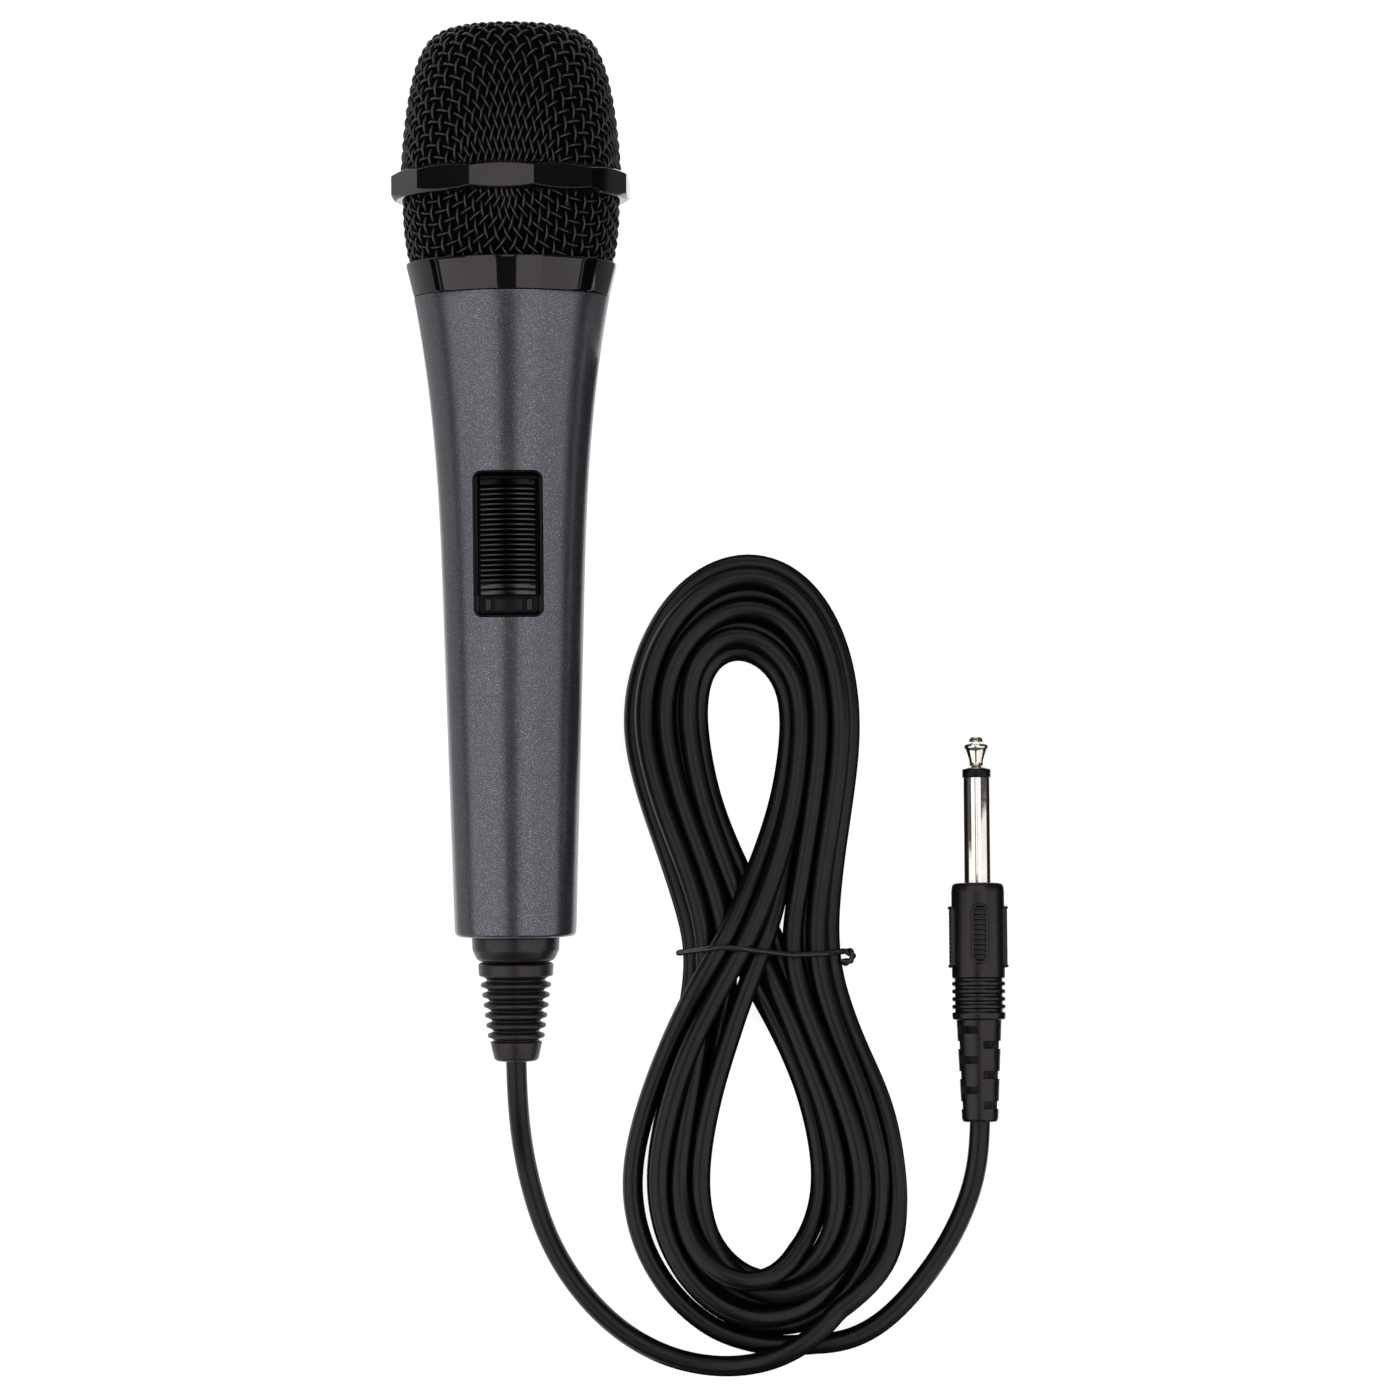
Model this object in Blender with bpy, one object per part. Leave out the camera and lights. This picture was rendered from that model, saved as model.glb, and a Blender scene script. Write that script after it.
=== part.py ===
"""A corded hand-held dynamic microphone, lying on a table with its cord and quarter-inch plug.

The microphone's own pieces are drawn on its axis, which is the Y axis of the empty microphone_axis:
"along" runs from the handle's tail towards the head, and "up" is the switch side. That empty tips the
whole microphone so that it rests on its tail edge and on one flat of the grille band.
Sizes are in millimetres, and MM turns them into Blender's metres.
"""

import math

import bmesh
import bpy
from mathutils import Matrix, Vector

MM = 0.001
SIDES = 32
SMALL_SIDES = 20
GAP = 0.3

# Handle
HANDLE_LENGTH = 148.9
TAIL_RADIUS = 14.1
HANDLE_TAPER = 0.0297
FLARE_START = 80.0
FLARE_GROWTH = 4.2
FLARE_POWER = 2.6
HANDLE_WALL = 1.6
TAIL_EDGE = 1.2
TAIL_WALL = 1.8
TAIL_HOLE_RADIUS = 9.1

# Head
COLLAR_TOP = 156.6
COLLAR_RADII = (22.7, 24.5)
THREAD_RADIUS = 18.6
THREAD_TOP = 153.8
BAND_BOTTOM, BAND_TOP = 171.3, 177.5
BAND_FLAT_RADIUS = 27.24
BAND_CHAMFER = 0.4
BAND_SIDES = 12
BAND_BORE = 24.2
DOME_BASE, DOME_TOP = 177.8, 212.9
DOME_RADIUS = 25.7
DOME_SQUARENESS = 4.3
GRILLE_THICKNESS = 1.2
FOAM_THICKNESS = 3.0
LOWER_GRILLE = ((156.9, 23.75), (161.0, 24.6), (165.0, 25.0), (169.0, 25.3), (171.0, 25.3))

# Switch
SWITCH_MIDDLE = 91.15
BEZEL_SIZE = (16.3, 33.5)
POCKET_SIZE = (13.5, 31.5)
SLIDER_SIZE = (13.1, 26.8)
SLIDER_MIDDLE = 92.7
SLIDER_TRAVEL = 3.7
TRAY_FLOOR = (12.4, 13.6)
LEVER_SIZE = 2.4

# Tail, strain relief and cord
GLAND_RADIUS = 10.1
BOOT_END = -29.0
BOOT_RIBS = 6
BOOT_RIB_PITCH = 2.31
CORD_RADIUS = 2.4
CORD_BORE = CORD_RADIUS + GAP

# Plug: "down" runs from the tip of the finger towards the cord
PLUG_PLACE = (108.0, -44.8, 6.95)
FINGER_RADIUS = 3.175
PLUG_FRONT = 34.4
PLUG_LENGTH = 90.2
PLUG_BODY_RADIUS = 6.33
PLUG_PAD_HEIGHT = 6.9
PLUG_CAVITY = (36.0, 50.0)

# Where the cord runs on the table, chosen by hand: (x, y, height) of its middle
LEAD_ROUTE = (
    (0.0, -120.9, 11.7), (0.1, -128.0, 10.6), (0.6, -136.0, 7.2), (1.6, -143.6, 4.0), (3.4, -151.5, 2.6),
    (6.6, -161.0, 2.5), (11.0, -169.2, 2.5), (17.2, -177.2, 2.5), (25.6, -184.6, 2.5),
    (34.8, -189.4, 2.5), (44.6, -191.6, 2.9), (53.0, -190.7, 4.4), (60.6, -187.9, 6.2),
)
TAIL_ROUTE = (
    (73.2, -187.1, 2.5), (81.2, -184.2, 2.5), (88.2, -179.0, 2.5), (94.4, -171.8, 2.5),
    (99.4, -165.2, 2.5), (103.4, -157.8, 2.7), (106.2, -150.6, 3.8), (107.7, -143.0, 6.0), (108.0, -135.3, 6.95),
)
HANK_HEIGHT = 14.5
HANK_TOP = (53.0, -29.6, 28.0)
HANK_WAIST = (57.2, -94.5, 17.2)
HANK_BOTTOM = (56.0, -155.0, 30.0)
TIE_RADIUS = 0.6
TABLE_GAP = 0.05
TIE_NOTCH = 1.6


def handle_radius(along):
    flare = max(0.0, (along - FLARE_START) / (HANDLE_LENGTH - FLARE_START))
    return TAIL_RADIUS + HANDLE_TAPER * along + FLARE_GROWTH * flare**FLARE_POWER


def dome_radius(along):
    rise = min(1.0, max(0.0, (along - DOME_BASE) / (DOME_TOP - DOME_BASE)))
    return DOME_RADIUS * (1 - rise * rise) ** (1 / DOME_SQUARENESS)


def lower_grille_radius(along):
    pairs = zip(LOWER_GRILLE, LOWER_GRILLE[1:])
    for (start, first), (end, second) in pairs:
        if along <= end:
            return first + (second - first) * (along - start) / (end - start)
    return LOWER_GRILLE[-1][1]


def resting_pose():
    """(tilt, height, y) that set the microphone on its tail edge and on one flat of the band."""
    run = BAND_BOTTOM + BAND_CHAMFER - TAIL_EDGE
    rise = BAND_FLAT_RADIUS - (TAIL_RADIUS - TAIL_EDGE)
    tilt = math.atan2(rise, run) - math.asin(TAIL_EDGE / math.hypot(run, rise))
    height = BAND_FLAT_RADIUS * math.cos(tilt) - (BAND_BOTTOM + BAND_CHAMFER) * math.sin(tilt)
    dome = [DOME_BASE + (DOME_TOP - DOME_BASE) * step / 60 for step in range(61)]
    head_reach = max(a * math.cos(tilt) + dome_radius(a) * math.sin(tilt) for a in dome)
    tail_reach = BOOT_END * math.cos(tilt) - 5.2 * math.sin(tilt)
    return tilt, height, -(head_reach + tail_reach) / 2


def clear_scene():
    for found in list(bpy.data.objects):
        bpy.data.objects.remove(found, do_unlink=True)


def material(name, colour, roughness, metallic=0.0):
    made = bpy.data.materials.new(name)
    made.use_nodes = True
    shader = made.node_tree.nodes["Principled BSDF"]
    shader.inputs["Base Color"].default_value = (*colour, 1.0)
    shader.inputs["Roughness"].default_value = roughness
    shader.inputs["Metallic"].default_value = metallic
    return made


def all_materials():
    return {
        "paint": material("handle_paint", (0.13, 0.13, 0.145), 0.38, 0.6),
        "black_gloss": material("black_gloss_plastic", (0.012, 0.012, 0.013), 0.12),
        "black_matte": material("black_matte_plastic", (0.02, 0.02, 0.021), 0.45),
        "black_wire": material("black_coated_wire", (0.014, 0.014, 0.015), 0.35, 0.3),
        "foam": material("black_foam", (0.01, 0.01, 0.01), 0.95),
        "rubber": material("black_rubber", (0.016, 0.016, 0.017), 0.55),
        "cord": material("cord_jacket", (0.018, 0.016, 0.017), 0.42),
        "nickel": material("nickel_plate", (0.78, 0.77, 0.75), 0.12, 1.0),
        "steel": material("plain_steel", (0.5, 0.5, 0.5), 0.35, 1.0),
        "brass": material("brass", (0.75, 0.58, 0.28), 0.3, 1.0),
        "magnet": material("magnet_nickel", (0.6, 0.6, 0.6), 0.25, 1.0),
        "film": material("clear_film", (0.75, 0.72, 0.6), 0.2),
        "copper": material("copper_wire", (0.72, 0.35, 0.2), 0.35, 1.0),
        "board": material("brown_board", (0.25, 0.13, 0.05), 0.6),
        "hot_wire": material("red_wire", (0.45, 0.03, 0.02), 0.5),
        "cold_wire": material("white_wire", (0.7, 0.7, 0.68), 0.5),
        "tie": material("tie_strip", (0.02, 0.02, 0.02), 0.4),
    }


def place(name, data, look, parent, at=(0, 0, 0)):
    made = bpy.data.objects.new(name, data)
    bpy.context.scene.collection.objects.link(made)
    made.location = Vector(at) * MM
    made.parent = parent
    if look:
        data.materials.append(look)
    return made


def empty(name, parent=None, at=(0, 0, 0), tilt=0.0):
    made = place(name, None, None, parent, at)
    made.rotation_euler = (tilt, 0, 0)
    return made


def finished(name, shape, look, parent, at=(0, 0, 0)):
    """Turns a bmesh into an object with outward faces and smooth round sides."""
    bmesh.ops.remove_doubles(shape, verts=shape.verts, dist=1e-6)
    bmesh.ops.recalc_face_normals(shape, faces=shape.faces)
    mesh = bpy.data.meshes.new(name)
    shape.to_mesh(mesh)
    shape.free()
    mesh.shade_smooth()
    mesh.set_sharp_from_angle(angle=math.radians(32))
    return place(name, mesh, look, parent, at)


def turned(name, outline, look, parent, sides=SIDES, first_angle=0.0, at=(0, 0, 0)):
    """A piece turned about Y from (along, radius) points: a closed ring, or axis to axis."""
    shape = bmesh.new()
    points = [shape.verts.new((radius * MM, along * MM, 0)) for along, radius in outline]
    reaches_axis = outline[0][1] == 0 and outline[-1][1] == 0
    followers = points[1:] if reaches_axis else points[1:] + points[:1]
    lines = [shape.edges.new(pair) for pair in zip(points, followers)]
    bmesh.ops.spin(
        shape, geom=points + lines, cent=(0, 0, 0), axis=(0, 1, 0),
        angle=math.tau, steps=sides, use_merge=True,
    )
    if first_angle:
        turn = Matrix.Rotation(first_angle, 3, "Y")
        bmesh.ops.rotate(shape, verts=shape.verts, cent=(0, 0, 0), matrix=turn)
    return finished(name, shape, look, parent, at)


def prism(name, outline, bottom, top, look, parent, at=(0, 0, 0)):
    """An (x, along) outline carried from one height to another."""
    shape = bmesh.new()
    base = shape.faces.new([shape.verts.new((x * MM, y * MM, bottom * MM)) for x, y in outline])
    raised = bmesh.ops.extrude_face_region(shape, geom=[base])
    moved = [item for item in raised["geom"] if isinstance(item, bmesh.types.BMVert)]
    bmesh.ops.translate(shape, verts=moved, vec=(0, 0, (top - bottom) * MM))
    return finished(name, shape, look, parent, at)


def rounded_rectangle(width, length, radius, steps=4):
    """Corner points of a rectangle with round corners, centred on the origin."""
    outline = []
    for quarter, (side, end) in enumerate(((1, 1), (-1, 1), (-1, -1), (1, -1))):
        middle = (side * (width / 2 - radius), end * (length / 2 - radius))
        for step in range(steps + 1):
            angle = (quarter + step / steps) * math.pi / 2
            outline.append((middle[0] + radius * math.cos(angle), middle[1] + radius * math.sin(angle)))
    return outline


def box_outline(width, length):
    return [(width / 2, length / 2), (-width / 2, length / 2), (-width / 2, -length / 2), (width / 2, -length / 2)]


def shape_with(target, helper, operation):
    """Adds a Boolean to the target. The helper only shapes it and is left out of the model."""
    helper.hide_render = True
    helper.display_type = "WIRE"
    made = target.modifiers.new(helper.name, "BOOLEAN")
    made.operation = operation
    made.object = helper


def smooth_route(points, step):
    """Points about one step apart on a Catmull-Rom curve through the route's own points."""
    knots = [Vector(point) for point in points]
    knots = [2 * knots[0] - knots[1], *knots, 2 * knots[-1] - knots[-2]]
    found = []
    for before, start, end, after in zip(knots, knots[1:], knots[2:], knots[3:]):
        pieces = max(1, round((end - start).length / step))
        for index in range(pieces):
            part = index / pieces
            found.append(
                0.5 * (2 * start + (end - before) * part
                       + (2 * before - 5 * start + 4 * end - after) * part**2
                       + (3 * start - before - 3 * end + after) * part**3)
            )
    return [*found, knots[-2]]


def tube(name, route, radius, look, parent=None, step=10.0, detail=2, cyclic=False):
    """A round tube through a route, with closed ends."""
    curve = bpy.data.curves.new(name, "CURVE")
    curve.dimensions = "3D"
    curve.bevel_depth = radius * MM
    curve.bevel_resolution = detail
    curve.use_fill_caps = not cyclic
    points = route if cyclic else smooth_route(route, step)
    line = curve.splines.new("POLY")
    line.points.add(len(points) - 1)
    line.use_cyclic_u = cyclic
    for slot, point in zip(line.points, points):
        slot.co = (*(Vector(point) * MM), 1.0)
    return place(name, curve, look, parent)


def handle_shell(look, axis):
    outer = [20, 45, 70, 85, 97, 108, 118, 127, 135, 142]
    inner = [142, 135, 127, 118, 106, 90, 60, 30]
    edge = [math.pi / 2 * step / 4 for step in range(5)]
    tail_edge = [
        (TAIL_EDGE * (1 - math.sin(a)), TAIL_RADIUS - TAIL_EDGE * (1 - math.cos(a))) for a in edge
    ]
    outline = [(0, TAIL_HOLE_RADIUS), *reversed(tail_edge)]
    outline += [(along, handle_radius(along)) for along in outer]
    outline += [(HANDLE_LENGTH, handle_radius(HANDLE_LENGTH))]
    outline += [(HANDLE_LENGTH, handle_radius(HANDLE_LENGTH) - HANDLE_WALL)]
    outline += [(along, handle_radius(along) - HANDLE_WALL) for along in inner]
    outline += [(TAIL_WALL, TAIL_RADIUS - HANDLE_WALL), (TAIL_WALL, TAIL_HOLE_RADIUS)]
    shell = turned("handle_shell", outline, look["paint"], axis)
    width, length = (side + 2 * GAP for side in BEZEL_SIZE)
    opening = rounded_rectangle(width, length, 2.2)
    cutter = prism("switch_opening", opening, 8, 26, None, axis, at=(0, SWITCH_MIDDLE, 0))
    shape_with(shell, cutter, "DIFFERENCE")
    return shell


def neck_ring(look, axis):
    outline = [
        (139.0, 17.4), (139.0, 19.1), (144.0, 19.9), (148.6, 20.7), (148.6, THREAD_RADIUS),
        (THREAD_TOP - 0.5, THREAD_RADIUS), (THREAD_TOP, THREAD_RADIUS - 0.5), (THREAD_TOP, 17.4),
    ]
    turned("neck_ring", outline, look["brass"], axis, 24)


def head_pieces(look, head):
    bottom, top = COLLAR_RADII
    collar = [
        (149.2, THREAD_RADIUS + GAP), (149.2, bottom - 0.4), (149.6, bottom + 0.1), (155.9, top - 0.1),
        (COLLAR_TOP, top - 0.6), (COLLAR_TOP, 22.2), (154.2, 22.2), (153.9, THREAD_RADIUS + GAP),
    ]
    turned("head_collar", collar, look["black_gloss"], head)
    lower = list(LOWER_GRILLE) + [(a, r - GRILLE_THICKNESS) for a, r in reversed(LOWER_GRILLE)]
    turned("lower_grille", lower, look["black_wire"], head)
    grille_band(look, head)
    ring = [(168.0, 22.4), (168.0, 23.6), (181.0, 23.6), (181.0, 22.4)]
    turned("grille_clamp_ring", ring, look["steel"], head, SMALL_SIDES)
    dome_shell("upper_grille", 0.0, GRILLE_THICKNESS, DOME_BASE, look["black_wire"], head, SIDES)
    foam_start = GRILLE_THICKNESS + GAP
    dome_shell("windscreen_foam_upper", foam_start, FOAM_THICKNESS, 181.5, look["foam"], head, SMALL_SIDES)
    stations = [157.4, 161.0, 165.0, 167.6]
    foam = [(a, lower_grille_radius(a) - foam_start) for a in stations]
    foam += [(a, lower_grille_radius(a) - foam_start - FOAM_THICKNESS) for a in reversed(stations)]
    turned("windscreen_foam_lower", foam, look["foam"], head, SMALL_SIDES)


def dome_shell(name, inset, thickness, base, look, parent, sides):
    """A dome that follows the upper grille, inset from its outside."""
    angles = [math.pi / 2 * step / 8 for step in range(8)]

    def skin(depth):
        top = DOME_TOP - depth
        rises = [math.sin(angle) ** 1.3 for angle in angles]
        stations = [base + (top - base) * rise for rise in rises]
        share = (DOME_RADIUS - depth) / DOME_RADIUS
        reach = [DOME_BASE + (a - DOME_BASE) * (DOME_TOP - DOME_BASE) / (top - DOME_BASE) for a in stations]
        return [(top, 0)] + [(a, dome_radius(b) * share) for a, b in zip(stations, reach)][::-1]

    outline = skin(inset) + skin(inset + thickness)[::-1]
    turned(name, outline, look, parent, sides)


def grille_band(look, head):
    """The faceted ring between the two grilles. One flat faces the switch side."""
    corner = 1 / math.cos(math.pi / BAND_SIDES)
    outer, bore = BAND_FLAT_RADIUS * corner, BAND_BORE * corner
    outline = [
        (BAND_BOTTOM, bore), (BAND_BOTTOM, outer - 0.6), (BAND_BOTTOM + BAND_CHAMFER, outer),
        (BAND_TOP - BAND_CHAMFER, outer), (BAND_TOP, outer - 0.6), (BAND_TOP, bore),
    ]
    turned("grille_band", outline, look["black_gloss"], head, BAND_SIDES, math.pi / BAND_SIDES)


def capsule(look, axis, coil_axis):
    """The moving-coil cartridge in its rubber mount, from the back to the front."""
    mount = [(141.0, 14.4), (141.0, 17.0), (155.5, 17.0), (155.5, 14.4)]
    turned("capsule_shock_mount", mount, look["rubber"], axis, 24)
    basket = [(141.5, 9.8), (141.5, 14.1), (158.0, 14.1), (158.0, 13.2), (153.8, 13.2), (153.8, 9.8)]
    turned("capsule_basket", basket, look["black_matte"], axis, 24)
    turned("acoustic_felt", disc(142.0, 143.2, 9.4), look["foam"], axis, SMALL_SIDES)
    pot = [(143.5, 0), (143.5, 9.5), (152.6, 9.5), (152.6, 7.5), (145.3, 7.5), (145.3, 0)]
    turned("yoke_pot", pot, look["steel"], axis, SMALL_SIDES)
    turned("magnet", disc(145.6, 149.8, 6.2), look["magnet"], axis, SMALL_SIDES)
    turned("pole_plate", disc(150.1, 152.6, 6.6), look["steel"], axis, SMALL_SIDES)
    coil = [(150.4, 6.85), (150.4, 7.2), (155.2, 7.2), (155.2, 6.85)]
    turned("voice_coil", coil, look["copper"], coil_axis, SMALL_SIDES)
    film = [
        (157.5, 0), (157.1, 3.6), (155.9, 6.9), (156.3, 9.5), (155.9, 12.7),
        (155.6, 12.7), (156.0, 9.5), (155.6, 6.9), (156.8, 3.6), (157.2, 0),
    ]
    turned("diaphragm", film, look["film"], coil_axis, SMALL_SIDES)
    cap = turned("capsule_cap", disc(158.3, 160.0, 14.1), look["black_matte"], axis, 24)
    for index in range(6):
        angle = math.tau * index / 6
        side, up = 8.2 * math.cos(angle), 8.2 * math.sin(angle)
        hole = turned(f"cap_hole_{index + 1}", disc(157, 162, 1.8), None, axis, 8, at=(side, 0, up))
        shape_with(cap, hole, "DIFFERENCE")


def disc(start, end, radius):
    return [(start, 0), (start, radius), (end, radius), (end, 0)]


def capsule_terminals(look, axis):
    turned("terminal_board", disc(139.9, 141.2, 13.5), look["board"], axis, SMALL_SIDES)
    for index, side in enumerate((-5.0, 5.0)):
        lug = box_outline(2.4, 3.2)
        prism(f"capsule_terminal_{index + 1}", lug, -0.3, 0.3, look["brass"], axis, at=(side, 138.0, 0))


def switch_pieces(look, axis, slide):
    middle = (0, SWITCH_MIDDLE, 0)
    bezel = prism("switch_bezel", rounded_rectangle(*BEZEL_SIZE, 1.9), TRAY_FLOOR[0], 22, look["black_gloss"],
                  axis, at=middle)
    stations = [68, 80, 92, 104, 114]
    crown = [(a, handle_radius(a) + 0.45) for a in stations]
    crown = [(stations[0], 0), *crown, (stations[-1], 0)]
    shape_with(bezel, turned("bezel_crown", crown, None, axis, 64), "INTERSECT")
    pocket = rounded_rectangle(*POCKET_SIZE, 0.9)
    shape_with(bezel, prism("bezel_pocket", pocket, TRAY_FLOOR[1], 26, None, axis, at=middle), "DIFFERENCE")
    slot_middle = SLIDER_MIDDLE - SLIDER_TRAVEL / 2
    slot = box_outline(LEVER_SIZE + 2 * GAP, LEVER_SIZE + SLIDER_TRAVEL + 2 * GAP)
    slot_cutter = prism("lever_slot", slot, 9.2, 16, None, axis, at=(0, slot_middle, 0))
    shape_with(bezel, slot_cutter, "DIFFERENCE")

    slider_place = (0, SLIDER_MIDDLE, 0)
    slider = prism("switch_slider", rounded_rectangle(*SLIDER_SIZE, 0.7), TRAY_FLOOR[1] + GAP, 22,
                   look["black_gloss"], slide, at=slider_place)
    back = [(a, 12.9 + HANDLE_TAPER * (a - SLIDER_MIDDLE)) for a in stations]
    back = [(stations[0], 0), *back, (stations[-1], 0)]
    shape_with(slider, turned("slider_crown", back, None, slide, 64, at=(0, 0, 5.0)), "INTERSECT")
    lever = box_outline(LEVER_SIZE, LEVER_SIZE)
    prism("switch_lever", lever, 9.8, TRAY_FLOOR[1], look["steel"], slide, at=slider_place)

    case = side_profile_prism("switch_case", 9.0, slot_middle, look["steel"], axis)
    shape_with(case, slot_cutter, "DIFFERENCE")
    for index, end in enumerate((-12.4, 12.4)):
        at = (0, slot_middle + end, 0)
        hole = [(1.3 * math.cos(math.tau * n / 12), 1.3 * math.sin(math.tau * n / 12)) for n in range(12)]
        shape_with(case, prism(f"screw_hole_{index + 1}", hole, 10, 14, None, axis, at=at), "DIFFERENCE")
        screw_piece(f"switch_screw_{index + 1}", look["steel"], axis, at)
        lug = box_outline(1.8, 0.6)
        at = (0, slot_middle + end * 0.4, 0)
        prism(f"switch_terminal_{index + 1}", lug, 2.8, 5.9, look["brass"], axis, at=at)


def side_profile_prism(name, width, middle, look, parent):
    """The slide switch's metal case: a box with an ear at each end."""
    profile = [
        (-15, 12.0), (-15, 11.2), (-9.5, 11.2), (-9.5, 6.2), (9.5, 6.2), (9.5, 11.2), (15, 11.2), (15, 12.0),
    ]
    shape = bmesh.new()
    side = [shape.verts.new((-width / 2 * MM, (middle + y) * MM, z * MM)) for y, z in profile]
    face = shape.faces.new(side)
    pushed = bmesh.ops.extrude_face_region(shape, geom=[face])
    moved = [item for item in pushed["geom"] if isinstance(item, bmesh.types.BMVert)]
    bmesh.ops.translate(shape, verts=moved, vec=(width * MM, 0, 0))
    return finished(name, shape, look, parent)


def screw_piece(name, look, parent, at):
    """A small screw with its head down, turned about the up direction."""
    outline = [(9.6, 0), (9.6, 1.9), (10.9, 1.9), (10.9, 1.0), (12.1, 1.0), (12.1, 0)]
    shape = bmesh.new()
    points = [shape.verts.new((radius * MM, 0, up * MM)) for up, radius in outline]
    lines = [shape.edges.new(pair) for pair in zip(points, points[1:])]
    bmesh.ops.spin(
        shape, geom=points + lines, cent=(0, 0, 0), axis=(0, 0, 1), angle=math.tau, steps=12, use_merge=True
    )
    finished(name, shape, look, parent, at)


def tail_pieces(look, axis):
    gland = [
        (-0.3, GLAND_RADIUS), (-4.6, GLAND_RADIUS), (-5.4, 9.6), (-5.9, 8.8), (-5.9, 4.6), (4.9, 4.6),
        (4.9, 8.7), (-0.3, 8.7),
    ]
    turned("tail_gland", gland, look["black_matte"], axis, 24)
    nut = [(2.1, 9.1), (2.1, 11.6), (4.6, 11.6), (4.6, 9.1)]
    turned("gland_nut", nut, look["steel"], axis, SMALL_SIDES)
    outline = [(6.6, CORD_BORE), (6.6, 4.6), (6.0, 5.4), (5.2, 5.4), (5.2, 4.3), (-6.2, 4.3), (-6.2, 8.1)]
    outline += [(-6.5, 8.7), (-9.3, 8.7), (-9.6, 8.3), (-10.0, 7.0)]
    for rib in range(BOOT_RIBS):
        peak = -11.3 - BOOT_RIB_PITCH * rib
        outline += [(peak, 8.1 - 0.32 * rib), (peak - BOOT_RIB_PITCH / 2, 6.85 - 0.33 * rib)]
    outline += [(-24.4, 6.0), (BOOT_END + 0.4, 5.2), (BOOT_END, 4.8), (BOOT_END, CORD_BORE)]
    turned("strain_relief_boot", outline, look["rubber"], axis, SMALL_SIDES)
    clamp = [(7.4, CORD_BORE), (7.4, 5.6), (11.4, 5.6), (11.4, CORD_BORE)]
    turned("cable_clamp", clamp, look["black_matte"], axis, SMALL_SIDES)


def wiring(look, axis, slot_middle):
    tube("cord_inner", [(0, BOOT_END + 0.1, 0), (0, 16, 0)], CORD_RADIUS, look["cord"], axis, 50)
    near, far = slot_middle - 4.96, slot_middle + 4.96
    capsule_hot = [(5, 136.0, 0), (5.4, 128, 0.8), (4.2, 116, 1.6), (1.2, 104, 1.8), (0, far, 2.0)]
    tube("capsule_hot_wire", capsule_hot, 0.55, look["hot_wire"], axis, 6, 1)
    hot = [(0, near, 2.0), (0.8, 74, 1.6), (2.6, 56, 0.8), (2.2, 36, 0.3), (0.9, 22, 0), (0.9, 16.4, 0)]
    tube("hot_wire", hot, 0.55, look["hot_wire"], axis, 8, 1)
    cold = [(-5, 136.0, 0), (-6.4, 124, -0.6), (-6.8, 100, -1.4), (-5.6, 70, -1.2), (-2.6, 40, -0.6),
            (-0.9, 24, 0), (-0.9, 16.4, 0)]
    tube("cold_wire", cold, 0.55, look["cold_wire"], axis, 9, 1)


def plug(look, plug_axis):
    """A moulded two-contact quarter-inch plug. Its axis empty points Y from tip to cord."""
    tip = [
        (0, 0), (0, 0.7), (0.35, 1.25), (2.6, 2.71), (3.1, 2.6), (6.2, 1.69), (6.9, 1.69), (8.04, 3.1),
        (8.04, 1.0), (44.0, 1.0), (44.0, 0),
    ]
    turned("plug_tip", tip, look["nickel"], plug_axis, 16)
    insulator = [(8.34, 1.3), (8.34, FINGER_RADIUS), (10.1, FINGER_RADIUS), (10.1, 1.3)]
    turned("plug_insulator", insulator, look["black_matte"], plug_axis, 16)
    sleeve = [
        (10.4, 1.6), (10.4, FINGER_RADIUS), (36.4, FINGER_RADIUS), (36.4, 4.2), (38.0, 4.2), (38.0, 1.6),
    ]
    turned("plug_sleeve", sleeve, look["nickel"], plug_axis, 16)
    prism("plug_tip_lug", box_outline(2.4, 4.2), -0.3, 0.3, look["brass"], plug_axis, at=(0, 46.5, 0))
    prism("plug_sleeve_lug", box_outline(2.6, 8.0), 2.6, 3.2, look["brass"], plug_axis, at=(0, 42.4, 0))
    core = [(0, 50.6, 0), (0, PLUG_LENGTH - 0.1, 0)]
    tube("plug_cord_core", core, CORD_RADIUS, look["cord"], plug_axis, 50)
    plug_moulding(look, plug_axis)


def plug_moulding(look, plug_axis):
    front, end = PLUG_CAVITY
    body = PLUG_BODY_RADIUS
    outline = [(PLUG_FRONT, FINGER_RADIUS + GAP), (PLUG_FRONT, 5.2), (PLUG_FRONT + 0.5, 6.0)]
    outline += [(PLUG_FRONT + 1.4, body), (57.6, body)]
    for ring in range(4):
        start = 58.2 + 2.1 * ring
        outline += [(start, body - 0.7), (start + 0.5, body), (start + 1.6, body)]
    outline += [(67.4, 5.2), (PLUG_LENGTH - 0.4, 4.2), (PLUG_LENGTH, 3.8), (PLUG_LENGTH, CORD_BORE)]
    outline += [(end, CORD_BORE), (end, 4.6), (front, 4.6), (front, FINGER_RADIUS + GAP)]
    moulding = turned("plug_moulding", outline, look["black_matte"], plug_axis, SMALL_SIDES)
    for name, width, height in (("side_pads", 2 * PLUG_PAD_HEIGHT, 3.0), ("face_pads", 5.5, PLUG_PAD_HEIGHT)):
        pad = prism(name, rounded_rectangle(width, 14.6, 1.2, 2), -height, height, None, plug_axis, at=(0, 47.8, 0))
        hollow = turned(name + "_hollow", disc(30, 60, 5.4), None, plug_axis, 12)
        shape_with(pad, hollow, "DIFFERENCE")
        shape_with(moulding, pad, "UNION")


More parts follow.
